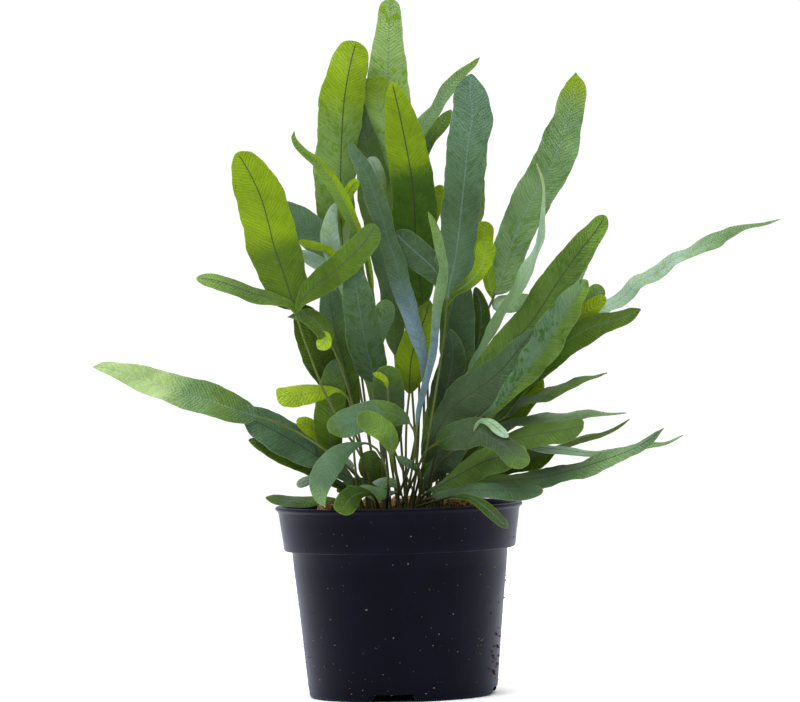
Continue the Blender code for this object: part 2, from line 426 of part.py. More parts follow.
def rounded_end(distance, reach, power):
    """How wide a blade is near its end, from 0 at the end to 1 at reach: power 1 is pointed, 2 is round."""
    near = np.clip(1 - distance / reach, 0.0, 1.0)
    return (1 - near**power) ** (1 / power)


def front_height(height, depth):
    """The front view's z of a true height at a depth."""
    return EYE_HEIGHT + (height - EYE_HEIGHT) / (1 + depth / EYE_DISTANCE)


class Strip:
    """A stalk with its blade, or a lobe: one smooth midline with a width, a turn and a depth along it."""

    def __init__(self, row, start, start_depth, sunk):
        points = [(start[0], start[1], 0.0)] + list(row["path"][0 if sunk else 1:])
        if sunk:
            points.insert(0, (start[0], front_height(SOIL_TOP - HOLE_DEPTH + GAP, start_depth), 0.0))
            points.insert(2, (start[0], start[1] + 3.0, 0.0))
        self.row = row
        self.points = np.array(points, float)
        chords = np.hypot(*np.diff(self.points[:, :2], axis=0).T)
        self.knots = np.concatenate([[0.0], np.cumsum(chords)])
        self.length = self.knots[-1]
        first_wide = int(np.argmax(self.points[:, 2] > 0))
        self.blade = self.knots[max(first_wide - 1, 0)]
        self.base = self.knots[2] - 0.6 if sunk else 0.0
        self.depth = start_depth
        self.sunk = sunk
        self.at = self.stations()
        self.shift = np.zeros(len(self.at))

    def stations(self):
        """Where the rings stand: far apart on the stalk, and close enough on the blade for its waves."""
        waved = self.row["wave"][0] > 1.2
        pace = min(self.row["wave"][1] / 2.5, 12.0) if waved else BLADE_PACE
        blade = self.length - self.blade - self.row["tip"][0]
        count = max(3, math.ceil(blade / pace))
        on_blade = self.blade + blade * np.linspace(0, 1, count + 1)
        near_tip = self.length - self.row["tip"][0] * np.array(TIP_RINGS)
        foot = [self.blade + self.row["foot"] * 0.5] if self.row["foot"] * 0.5 < blade / count * 0.7 else []
        stalk = [0.0, self.base] if self.sunk else [0.0]
        for knot in self.knots[(self.knots > self.base + 5) & (self.knots < self.blade - 5)]:
            if knot > stalk[-1] + 5:
                stalk.append(knot)
        joints = np.array(stalk + [self.blade])
        for low, high in zip(joints[1 if self.sunk else 0:], joints[2 if self.sunk else 1:]):
            count = math.ceil((high - low) / STALK_PACE)
            stalk += list(low + (high - low) * np.arange(1, count) / count)
        return np.array(sorted(set(np.round(stalk + foot + list(on_blade) + list(near_tip), 3))))

    def midline(self, at):
        """Front-view x, depth and z of the midline, before it is eased clear of its neighbours."""
        xz = eased(self.knots, self.points[:, :2], at)
        run = np.clip((at - self.base) / (self.length - self.base), 0, 1)
        depth = self.depth + self.reach() * run ** self.row["bow"] * step_up((at - self.base) / EASE_IN)
        return np.column_stack([xz[:, 0], depth, xz[:, 1]])

    def reach(self):
        """How far the tip lies from the root in depth."""
        return self.row["lean"] - self.depth if self.sunk else self.row["lean"]

    def half_width(self, at, least=NARROWEST):
        """Half the blade's width: the table's widths, closed at the foot and at the tip."""
        widths = self.points[:, 2].copy()
        first = int(np.argmax(widths > 0))
        widths[:first] = widths[first]
        half = eased(self.knots, widths[:, None], at)[:, 0]
        half = half * rounded_end(self.length - at, *self.row["tip"])
        half = half * rounded_end(np.maximum(at - self.blade, 0), self.row["foot"], 1.5)
        half = np.where(at > self.blade + self.row["foot"] / 2, np.maximum(half, least), half)
        return np.where(at < self.blade, 0.0, half)

    def frames(self, at):
        """Midline with the blade's sideways and face directions, turned about the midline."""
        middle = self.midline(at)
        ahead = self.midline(at + 0.5) - self.midline(at - 0.5)
        ahead /= np.linalg.norm(ahead, axis=1)[:, None]
        across = np.cross(np.array([0.0, 1.0, 0.0]), ahead)
        across /= np.linalg.norm(across, axis=1)[:, None]
        face = np.cross(ahead, across)
        run = np.clip((at - self.blade) / (self.length - self.blade), 0, 1)
        swing, period = self.row["flutter"]
        angle = np.radians(self.row["turn"][0] + (self.row["turn"][1] - self.row["turn"][0]) * run
                           + swing * np.sin(2 * math.pi * (at - self.blade) / period) * step_up(run * 4))
        angle = angle * step_up((at - self.blade) / 12 + 0.4)
        c, s = np.cos(angle)[:, None], np.sin(angle)[:, None]
        return middle, across * c + face * s, face * c - across * s

    def surface(self, at, v, side, thickness=BLADE_THICKNESS, rib=RIB_THICKNESS, wrap=60.0):
        """Points at the stations for each v across, -1 left to 1 right, on the back (side 1) or front (-1).

        The blade is a V of the fold's angle with waves that grow towards its edges; it eases into a round
        stalk where it is narrow. The result is (stations, across, 3) in the front view's own space.
        """
        middle, across, face = self.frames(at)
        half = self.half_width(at)[:, None]
        run = np.clip((at - self.blade) / (self.length - self.blade), 0, 1)
        fold = np.radians(self.row["fold"][0] + (self.row["fold"][1] - self.row["fold"][0]) * run)[:, None]
        height, period = self.row["wave"]
        v = np.asarray(v, float)[None, :]
        phase = 2 * math.pi * at[:, None] / period + np.where(v < 0, 2.2, 0.0)
        grow = step_up(run * 5)[:, None] * step_up((1 - run) * 6)[:, None] * np.clip(half / 6, 0, 1)
        wave = height * grow * np.abs(v) ** 1.5 * np.sin(phase)
        thick = thickness + (rib - thickness) * (1 - np.abs(v)) ** 2
        sideways = v * half * np.cos(fold)
        out = np.abs(v) * half * np.sin(fold) + wave + side * thick / 2
        stalk = self.row["stalk"] * (1 - 0.2 * np.clip(at / self.length, 0, 1))[:, None]
        round_side = stalk * np.sin(np.radians(wrap) * v)
        round_out = side * stalk * np.cos(np.radians(wrap) * v)
        mix = step_up((half - stalk * 0.6) / (stalk * 2.2))
        mix = np.where((at < self.blade)[:, None], 0.0, np.maximum(mix, (run > 0.5)[:, None]))
        sideways = sideways * mix + round_side * (1 - mix)
        out = out * mix + round_out * (1 - mix)
        return middle[:, None, :] + sideways[..., None] * across[:, None, :] + out[..., None] * face[:, None, :]


def root_places(rows):
    """Where each stalk enters the soil: depth by its place in the order, and sideways clear of the others."""
    depth = np.linspace(-ROOT_DEPTH, ROOT_DEPTH, len(rows))
    x = np.array([float(row["root"]) for row in rows])
    for _ in range(400):
        for i in range(len(rows)):
            for j in range(i + 1, len(rows)):
                if abs(depth[i] - depth[j]) < ROOT_SPACING and abs(x[i] - x[j]) < ROOT_SPACING:
                    push = (ROOT_SPACING - abs(x[i] - x[j])) / 2 + 0.02
                    sign = 1.0 if x[i] >= x[j] else -1.0
                    x[i] += sign * push
                    x[j] -= sign * push
    return x, depth


def make_strips(rows):
    """For each frond its strips, the main one first, with each lobe started on the main one's midline."""
    x, depth = root_places(rows)
    fronds = []
    for row, root_x, root_depth in zip(rows, x, depth):
        main = Strip(row, (root_x, front_height(SOIL_TOP, root_depth)), root_depth, True)
        strips = [main]
        fine = np.linspace(main.base, main.length, 600)
        line = main.midline(fine)
        for part in row["lobes"]:
            first = part["path"][0]
            near = int(np.argmin(np.hypot(line[:, 0] - first[0], line[:, 2] - first[1])))
            strip = Strip(part, (line[near, 0], line[near, 2]), line[near, 1], False)
            strip.joint = fine[near]
            strips.append(strip)
        fronds.append(strips)
    return fronds


def across_ring(ring, w):
    """Points straight from a ring's midline out to its left edge at w = -1 and its right edge at w = 1."""
    return np.where(w < 0, ring[1] - (ring[0] - ring[1]) * w, ring[1] + (ring[2] - ring[1]) * w)


def clearing_samples(fronds):
    """Points all over the faceted blades, with the cell of the front view that each lies in."""
    samples = []
    for number, strips in enumerate(fronds):
        for strip in strips:
            ring = strip.surface(strip.at, (-1, 0, 1), 0)
            wide = np.maximum(strip.half_width(strip.at), STALK_RADIUS + 0.3)
            for k in range(len(strip.at) - 1):
                steps = max(2, math.ceil((strip.at[k + 1] - strip.at[k]) / 1.2))
                sides = max(3, math.ceil(max(wide[k], wide[k + 1]) / 1.0))
                u = np.linspace(0, 1, steps + 1)[:, None, None]
                w = np.linspace(-1, 1, 2 * sides + 1)[None, :, None]
                low, high = across_ring(ring[k], w), across_ring(ring[k + 1], w)
                spot = low + (high - low) * u
                thin = max(wide[k], wide[k + 1]) < 1.6
                part = np.where(strip.at[k] < strip.blade or thin, STALK_RADIUS, BLADE_THICKNESS / 2)
                flat = spot.reshape(-1, 3)
                share = np.broadcast_to(u, spot.shape[:2] + (1,)).reshape(-1)
                high_enough = flat[:, 2] > SOIL_TOP + CLEAR_ABOVE
                if high_enough.any():
                    samples.append((flat[high_enough], share[high_enough], number, strip, k, float(part)))
    return samples


def bend_clear(fronds, rounds=320):
    """Ease the fronds apart in depth, nearer ones forward and farther ones back, until each cell is free.

    The front view is cut into small cells. In each cell the fronds keep their order, and where two come closer
    than the free gap the stations beside it take a share of what is missing, spread smoothly along the midline.
    """
    samples = clearing_samples(fronds)
    x = np.concatenate([s[0][:, 0] for s in samples])
    z = np.concatenate([s[0][:, 2] for s in samples])
    depth = np.concatenate([s[0][:, 1] for s in samples])
    share = np.concatenate([s[1] for s in samples])
    owner = np.concatenate([np.full(len(s[0]), s[2]) for s in samples])
    thick = np.concatenate([np.full(len(s[0]), s[5]) for s in samples])
    strips = [strip for group in fronds for strip in group]
    start = dict(zip(map(id, strips), np.cumsum([0] + [len(s.at) for s in strips[:-1]])))
    low = np.concatenate([np.full(len(s[0]), start[id(s[3])] + s[4]) for s in samples])
    columns = int((x.max() - x.min()) / CELL) + 2
    cell = (np.round((x - x.min()) / CELL) + columns * np.round((z - z.min()) / CELL)).astype(int)
    used, cell = np.unique(cell, return_inverse=True)
    shape = (len(fronds), len(used))
    key = owner * len(used) + cell
    order = np.argsort(key, kind="stable")
    starts = np.flatnonzero(np.r_[True, np.diff(key[order]) > 0])
    slots = key[order][starts]
    rooted = np.concatenate([step_up((s.midline(s.at)[:, 2] - SOIL_TOP - 2) / 22) if s.sunk
                             else step_up(s.at / 8) for s in strips])
    spreads = [np.exp(-((s.at[:, None] - s.at[None, :]) / SPREAD) ** 2 / 2) for s in strips]
    spreads = [spread / spread.sum(axis=1, keepdims=True) for spread in spreads]
    shift = np.zeros(len(rooted))
    for turn in range(rounds):
        y = depth + (1 - share) * shift[low] + share * shift[low + 1]
        nearest = np.full(shape, np.inf)
        farthest = np.full(shape, -np.inf)
        nearest.flat[slots] = np.minimum.reduceat((y - thick)[order], starts)
        farthest.flat[slots] = np.maximum.reduceat((y + thick)[order], starts)
        before = np.full(shape, -np.inf)
        before[1:] = np.maximum.accumulate(farthest, axis=0)[:-1]
        after = np.full(shape, np.inf)
        after[:-1] = np.minimum.accumulate(nearest[::-1], axis=0)[::-1][1:]
        back = np.clip(before + FREE_GAP - nearest, 0, 60).flat[key]
        fore = np.clip(farthest + FREE_GAP - after, 0, 60).flat[key]
        most_back = np.zeros(len(shift))
        most_fore = np.zeros(len(shift))
        for side in (low, low + 1):
            np.maximum.at(most_back, side, back)
            np.maximum.at(most_fore, side, fore)
        move = 0.5 * (most_back - most_fore)
        if max(most_back.max(), most_fore.max()) < 0.2:
            break
        for strip, spread in zip(strips, spreads):
            first = start[id(strip)]
            part = slice(first, first + len(strip.at))
            shift[part] += 0.8 * rooted[part] * (spread @ move[part])
        if turn < rounds * 0.8:
            shift *= SPRING
        for group in fronds:
            for part in group[1:]:
                main = group[0]
                first = start[id(main)]
                at_joint = np.interp(part.joint, main.at, shift[first:first + len(main.at)])
                begin = start[id(part)]
                own = shift[begin:begin + len(part.at)]
                own += (at_joint - own[0]) * (1.0 if turn == 0 else 1.0 - step_up(part.at / part.length) * 0.5)
    for strip in strips:
        first = start[id(strip)]
        strip.shift = shift[first:first + len(strip.at)].copy()
    return float(max(most_back.max(), most_fore.max()))


def true_place(points):
    """Front-view points moved to their true place: farther ones out from the eye's line, nearer ones in."""
    points = np.asarray(points, float).copy()
    scale = 1 + points[..., 1] / EYE_DISTANCE
    points[..., 0] *= scale
    points[..., 2] = EYE_HEIGHT + (points[..., 2] - EYE_HEIGHT) * scale
    return points * MM


def strip_mesh(name, strip):
    """A closed loft of rings, each split into triangles alike on its two faces."""
    spots = (-1, 0, 1)
    back = strip.surface(strip.at, spots, 1)
    front = strip.surface(strip.at, spots, -1)
    rings = np.concatenate([back, front[:, ::-1]], axis=1)
    rings[..., 1] += strip.shift[:, None]
    points = true_place(rings)
    count, around = points.shape[:2]
    faces = []
    for k in range(count - 1):
        for j in range(around):
            a, b = k * around + j, k * around + (j + 1) % around
            c, d = b + around, a + around
            if j in (0, 3, 5):
                faces += [(a, b, c), (a, c, d)]
            else:
                faces += [(a, b, d), (b, c, d)]
    faces += [(0, 5, 4), (0, 4, 1), (1, 4, 3), (1, 3, 2)]
    last = (count - 1) * around
    faces += [(last + 5, last, last + 4), (last, last + 1, last + 4), (last + 4, last + 1, last + 3),
              (last + 1, last + 2, last + 3)]
    mesh = bpy.data.meshes.new(name)
    mesh.from_pydata(points.reshape(-1, 3).tolist(), [], faces)
    mesh.validate()
    built = bmesh.new()
    built.from_mesh(mesh)
    bmesh.ops.recalc_face_normals(built, faces=built.faces)
    if built.calc_volume(signed=True) < 0:
        bmesh.ops.reverse_faces(built, faces=built.faces)
    built.to_mesh(mesh)
    built.free()
    return mesh


def new_object(name, mesh, material):
    """An object in the scene with one material, shaded smooth where its faces meet gently."""
    thing = bpy.data.objects.new(name, mesh)
    bpy.context.scene.collection.objects.link(thing)
    mesh.materials.clear()
    mesh.materials.append(material)
    mesh.shade_smooth()
    mesh.set_sharp_from_angle(angle=math.radians(40))
    return thing


def new_material(name, colour, roughness):
    """A plain finish: a Principled surface with its base colour and roughness."""
    material = bpy.data.materials.new(name)
    material.use_nodes = True
    shader = material.node_tree.nodes["Principled BSDF"]
    shader.inputs["Base Color"].default_value = (*colour, 1.0)
    shader.inputs["Roughness"].default_value = roughness
    shader.inputs["Metallic"].default_value = 0.0
    return material


def is_closed(mesh):
    """Whether each edge of the mesh has exactly two faces."""
    built = bmesh.new()
    built.from_mesh(mesh)
    closed = bool(built.faces) and all(len(edge.link_faces) == 2 for edge in built.edges)
    built.free()
    return closed


def volume_of(mesh):
    """The volume that the mesh encloses."""
    built = bmesh.new()
    built.from_mesh(mesh)
    volume = built.calc_volume()
    built.free()
    return volume


def apply_boolean(target, operation, tools):
    """Join or cut the target with a collection of tools, and remove the tools.

    The exact solver is used, and the manifold one where that leaves the target open or loses part of it.
    """
    group = bpy.data.collections.new("boolean_tools")
    bpy.context.scene.collection.children.link(group)
    for tool in tools:
        group.objects.link(tool)
    change = target.modifiers.new("boolean", "BOOLEAN")
    change.operation = operation
    change.operand_type = "COLLECTION"
    change.collection = group
    most = max([volume_of(target.data)] + [volume_of(tool.data) for tool in tools])
    for solver in ("EXACT", "MANIFOLD"):
        change.solver = solver
        bpy.context.view_layer.update()
        done = target.evaluated_get(bpy.context.evaluated_depsgraph_get())
        mesh = bpy.data.meshes.new_from_object(done)
        whole = operation == "DIFFERENCE" or volume_of(mesh) > most * 0.999
        if whole and is_closed(mesh):
            break
    target.modifiers.clear()
    old = target.data
    target.data = mesh
    bpy.data.meshes.remove(old)
    mesh.name = target.name
    for tool in tools:
        bpy.data.objects.remove(tool)
    bpy.data.collections.remove(group)


def frond_object(strips, material):
    """One frond: its main strip, with its lobes joined on by a Boolean union."""
    name = strips[0].row["name"]
    main = new_object(name, strip_mesh(name, strips[0]), material)
    tools = [new_object(f"{name}_lobe", strip_mesh(f"{name}_lobe", part), material) for part in strips[1:]]
    if tools:
        apply_boolean(main, "UNION", tools)
    return main


def turned(name, profile, sides):
    """A closed ring or disc turned about the Z axis from the (radius, height) points of its section."""
    built = bmesh.new()
    rings = []
    for radius, height in profile:
        if radius == 0:
            rings.append([built.verts.new((0, 0, height * MM))])
            continue
        ring = []
        for k in range(sides):
            angle = 2 * math.pi * k / sides
            ring.append(built.verts.new((radius * math.cos(angle) * MM, radius * math.sin(angle) * MM,
                                         height * MM)))
        rings.append(ring)
    for lower, upper in zip(rings, rings[1:]):
        for k in range(sides):
            m = (k + 1) % sides
            if len(lower) == 1:
                built.faces.new((lower[0], upper[m], upper[k]))
            elif len(upper) == 1:
                built.faces.new((lower[k], lower[m], upper[0]))
            else:
                built.faces.new((lower[k], lower[m], upper[m], upper[k]))
    bmesh.ops.recalc_face_normals(built, faces=built.faces)
    if built.calc_volume(signed=True) < 0:
        bmesh.ops.reverse_faces(built, faces=built.faces)
    mesh = bpy.data.meshes.new(name)
    built.to_mesh(mesh)
    built.free()
    return mesh


def cylinder(name, radius, low, high, spot, sides):
    """A closed prism of round section standing on Z at a spot given in millimetres."""
    built = bmesh.new()
    bmesh.ops.create_cone(built, cap_ends=True, segments=sides, radius1=radius * MM, radius2=radius * MM,
                          depth=(high - low) * MM)
    bmesh.ops.translate(built, verts=built.verts, vec=(spot[0] * MM, spot[1] * MM, (low + high) / 2 * MM))
    mesh = bpy.data.meshes.new(name)
    built.to_mesh(mesh)
    built.free()
    thing = bpy.data.objects.new(name, mesh)
    bpy.context.scene.collection.objects.link(thing)
    return thing


def pot_profile():
    """The pot's section: foot skirt, body, the step out to the rim band, lip, inner wall and raised floor."""
    inner_top = BAND_TOP_RADIUS - WALL
    inner_step = BODY_TOP_RADIUS - WALL
    inner_foot = BODY_FOOT_RADIUS - WALL
    return [
        (0, FLOOR_LIFT), (inner_foot - WALL, FLOOR_LIFT), (inner_foot - WALL + 0.4, 0),
        (BODY_FOOT_RADIUS - FOOT_EDGE * 0.5, 0), (BODY_FOOT_RADIUS, FOOT_EDGE),
        (BODY_TOP_RADIUS, BAND_FOOT_HEIGHT + 0.6), (BAND_FOOT_RADIUS - 0.6, BAND_FOOT_HEIGHT),
        (BAND_FOOT_RADIUS, BAND_FOOT_HEIGHT + 0.7), (BAND_TOP_RADIUS, POT_HEIGHT - 2.4),
        (RIM_RADIUS, POT_HEIGHT - 1.7), (RIM_RADIUS, POT_HEIGHT - 0.5), (RIM_RADIUS - 0.6, POT_HEIGHT),
        (inner_top + 0.2, POT_HEIGHT), (inner_top, POT_HEIGHT - 0.6),
        (BAND_FOOT_RADIUS - WALL, BAND_FOOT_HEIGHT + 2.4), (inner_step, BAND_FOOT_HEIGHT + 1.2),
        (inner_foot, FLOOR_LIFT + WALL + 1.2), (inner_foot - 1.2, FLOOR_LIFT + WALL), (0, FLOOR_LIFT + WALL),
    ]


def foot_notch(angle):
    """A block that cuts one notch through the pot's foot at an angle about the axis."""
    built = bmesh.new()
    bmesh.ops.create_cube(built, size=1.0)
    bmesh.ops.scale(built, verts=built.verts, vec=(NOTCH_DEPTH * MM, NOTCH_WIDTH * MM, NOTCH_HEIGHT * 2 * MM))
    bmesh.ops.translate(built, verts=built.verts, vec=(BODY_FOOT_RADIUS * MM, 0, 0))
    bmesh.ops.rotate(built, verts=built.verts, cent=(0, 0, 0), matrix=Matrix.Rotation(angle, 3, "Z"))
    mesh = bpy.data.meshes.new("notch")
    built.to_mesh(mesh)
    built.free()
    notch = bpy.data.objects.new("notch", mesh)
    bpy.context.scene.collection.objects.link(notch)
    return notch


def nursery_pot(material):
    """The black pot, with notches through its foot, drain holes through its floor and a gate pad under it."""
    pot = new_object("nursery_pot", turned("nursery_pot", pot_profile(), POT_SIDES), material)
    pad = cylinder("gate_pad", GATE_RADIUS, 0, FLOOR_LIFT + WALL / 2, (0, 0), GATE_SIDES)
    apply_boolean(pot, "UNION", [pad])
    tools = [foot_notch(NOTCH_TURN + 2 * math.pi * k / NOTCH_COUNT) for k in range(NOTCH_COUNT)]
    for k in range(DRAIN_COUNT):
        angle = 2 * math.pi * (k + 0.5) / DRAIN_COUNT
        spot = (DRAIN_RING * math.cos(angle), DRAIN_RING * math.sin(angle))
        tools.append(cylinder("drain", DRAIN_RADIUS, 1.0, FLOOR_LIFT + WALL + 3.0, spot, 10))
    apply_boolean(pot, "DIFFERENCE", tools)
    return pot


def potting_soil(roots, material):
    """The soil that fills the pot, a little crowned, with a plain round hole for each stalk."""
    foot = BODY_FOOT_RADIUS - WALL - GAP
    step = BODY_TOP_RADIUS - WALL - GAP
    band = BAND_FOOT_RADIUS - WALL - GAP
    slope = (BAND_TOP_RADIUS - BAND_FOOT_RADIUS) / (POT_HEIGHT - BAND_FOOT_HEIGHT)
    edge = band + slope * (SOIL_TOP - BAND_FOOT_HEIGHT - 3)
    floor = FLOOR_LIFT + WALL + GAP
    profile = [(0, floor), (foot - 1.4, floor), (foot - 0.2, floor + 1.4), (step - 0.1, BAND_FOOT_HEIGHT + 1.6),
               (band - 0.1, BAND_FOOT_HEIGHT + 3.0), (edge, SOIL_TOP - SOIL_CROWN), (38, SOIL_TOP), (0, SOIL_TOP)]
    soil = new_object("potting_soil", turned("potting_soil", profile, 36), material)
    tools = [cylinder("hole", HOLE_RADIUS, SOIL_TOP - HOLE_DEPTH, SOIL_TOP + 5, spot, HOLE_SIDES)
             for spot in roots]
    apply_boolean(soil, "DIFFERENCE", tools)
    return soil


def rhizome_path():
    """The rhizome creeps across the soil in a bow, just behind the stalks."""
    return [(-39.0, 10.0), (-30.0, 20.0), (-16.0, 27.0), (0.0, 29.5), (16.0, 29.0), (29.0, 24.0), (38.0, 14.0)]


def rhizome(material):
    """A knobbly creeping stem that lies on the soil and tapers to its growing tip."""
    path = np.array(rhizome_path())
    knots = np.concatenate([[0.0], np.cumsum(np.hypot(*np.diff(path, axis=0).T))])
    at = np.linspace(0, knots[-1], 22)
    line = eased(knots, path, at)
    ahead = eased(knots, path, np.minimum(at + 0.5, knots[-1])) - eased(knots, path, np.maximum(at - 0.5, 0))
    ahead /= np.linalg.norm(ahead, axis=1)[:, None]
    ends = rounded_end(at, 6.0, 2.0) * rounded_end(knots[-1] - at, 12.0, 1.7)
    radius = RHIZOME_RADIUS * np.maximum(ends, 0.16) * (1 + 0.13 * np.sin(at * 0.9))
    sides = 8
    rings = []
    for k in range(sides):
        angle = 2 * math.pi * (k + 0.5) / sides
        height = SOIL_TOP + GAP + 0.2 + radius * (0.85 + math.sin(angle))
        rings.append(np.column_stack([line[:, 0] + ahead[:, 1] * radius * math.cos(angle),
                                      line[:, 1] - ahead[:, 0] * radius * math.cos(angle), height]))
    points = np.stack(rings, axis=1) * MM
    faces = []
    for k in range(len(at) - 1):
        for j in range(sides):
            a, b = k * sides + j, k * sides + (j + 1) % sides
            faces.append((a, b, b + sides, a + sides))
    last = (len(at) - 1) * sides
    faces.append(tuple(range(sides)))
    faces.append(tuple(last + k for k in range(sides)))
    mesh = bpy.data.meshes.new("rhizome")
    mesh.from_pydata(points.reshape(-1, 3).tolist(), [], faces)
    built = bmesh.new()
    built.from_mesh(mesh)
    bmesh.ops.recalc_face_normals(built, faces=built.faces)
    if built.calc_volume(signed=True) < 0:
        bmesh.ops.reverse_faces(built, faces=built.faces)
    built.to_mesh(mesh)
    built.free()
    return new_object("rhizome", mesh, material)


def main():
    """Clear the scene and build the whole plant in its pot."""
    for old in list(bpy.data.objects):
        bpy.data.objects.remove(old)
    rows = tall_fronds() + left_fronds() + right_fronds() + low_fronds() + back_fronds()
    rows.sort(key=lambda row: row["layer"])
    fronds = make_strips(rows)
    bend_clear(fronds)
    nursery_pot(new_material("black_polypropylene", (0.018, 0.018, 0.024), 0.5))
    leaf = new_material("frond_leaf", (0.13, 0.24, 0.12), 0.5)
    roots = []
    for strips in fronds:
        frond_object(strips, leaf)
        place = true_place(np.array([[strips[0].points[0, 0], strips[0].depth, SOIL_TOP]]))[0] / MM
        roots.append((place[0], place[1]))
    potting_soil(roots, new_material("potting_mix", (0.035, 0.022, 0.014), 0.95))
    rhizome(new_material("rhizome_scales", (0.22, 0.12, 0.05), 0.8))


main()
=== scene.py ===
"""A potted blue star fern: fine fronds, pot, soil and rhizome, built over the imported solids.

The table of fronds and the way that they are eased apart are the same as in the solids' source, so each fine
frond has the form of the solid that it replaces. Lengths are in millimetres, apart from the camera's.
"""

import math

import bpy
import numpy as np
from mathutils import Matrix, Vector


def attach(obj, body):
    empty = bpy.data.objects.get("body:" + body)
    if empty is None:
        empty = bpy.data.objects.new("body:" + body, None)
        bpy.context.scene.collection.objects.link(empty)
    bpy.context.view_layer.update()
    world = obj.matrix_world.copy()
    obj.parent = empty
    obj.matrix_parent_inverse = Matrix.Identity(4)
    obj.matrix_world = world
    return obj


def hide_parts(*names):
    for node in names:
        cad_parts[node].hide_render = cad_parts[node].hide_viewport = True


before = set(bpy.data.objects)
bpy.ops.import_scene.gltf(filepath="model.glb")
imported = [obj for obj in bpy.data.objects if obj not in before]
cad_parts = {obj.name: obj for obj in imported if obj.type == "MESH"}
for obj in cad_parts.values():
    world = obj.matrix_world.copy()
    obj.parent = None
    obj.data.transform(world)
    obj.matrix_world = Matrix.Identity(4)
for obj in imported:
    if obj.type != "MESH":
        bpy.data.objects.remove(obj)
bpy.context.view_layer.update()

MM = 0.001
# Where the front view is seen from.
EYE_DISTANCE = 2200.0
EYE_HEIGHT = 185.0
# The solids' soil, stalks and blades.
GAP = 0.3
SOIL_TOP = 87.0
HOLE_DEPTH = 6.0
STALK_RADIUS = 0.95
BLADE_THICKNESS = 0.72
# Where the stalks are rooted, and how the fronds are eased apart.
ROOT_SPACING = 3.3
ROOT_DEPTH = 21.5
ROOT_ROUNDS = 400
FREE_GAP = 1.3
MOST_MISSING = 60.0
EASE_ROUNDS = 320
EASE_ENOUGH = 0.2
SAMPLE_STEP = 1.2
THIN_BLADE = 1.6
CELL = 2.0
CLEAR_ABOVE = 5.0
SPRING = 0.985
SPREAD = 8.0
STALK_HELD = 22.0
LOBE_HELD = 8.0
MOVE_SHARE = 0.8
# The rings of a strip, and the shape of its blade.
EASE_IN = 12.0
NARROWEST = 0.55
STALK_PACE = 32.0
BLADE_PACE = 13.5
TIP_RINGS = (0.28, 0.0)
LEFT_PHASE = 2.2
STALK_WRAP = math.radians(60.0)


def frond(name, layer, root, lean, path, turn=(0, 0), fold=(6, 6), tip=(5, 1.8), foot=9, wave=(0.8, 30),
          flutter=(0, 20), bow=1.4, stalk=STALK_RADIUS, lobes=()):
    """One row of the table: a frond with its lobes, widths and depths in millimetres, angles in degrees."""
    return dict(name=name, layer=layer, root=root, lean=lean, path=path, turn=turn, fold=fold, tip=tip,
                foot=foot, wave=wave, flutter=flutter, bow=bow, stalk=stalk, lobes=lobes)


def lobe(path, lean, turn=(0, 0), fold=(6, 6), tip=(4, 2.0), foot=7, wave=(0.5, 26)):
    """A side lobe that starts on its frond's midline; its lean is measured from the frond there."""
    return dict(path=path, lean=lean, turn=turn, fold=fold, tip=tip, foot=foot, wave=wave, flutter=(0, 20),
                bow=1.0, stalk=0.62)


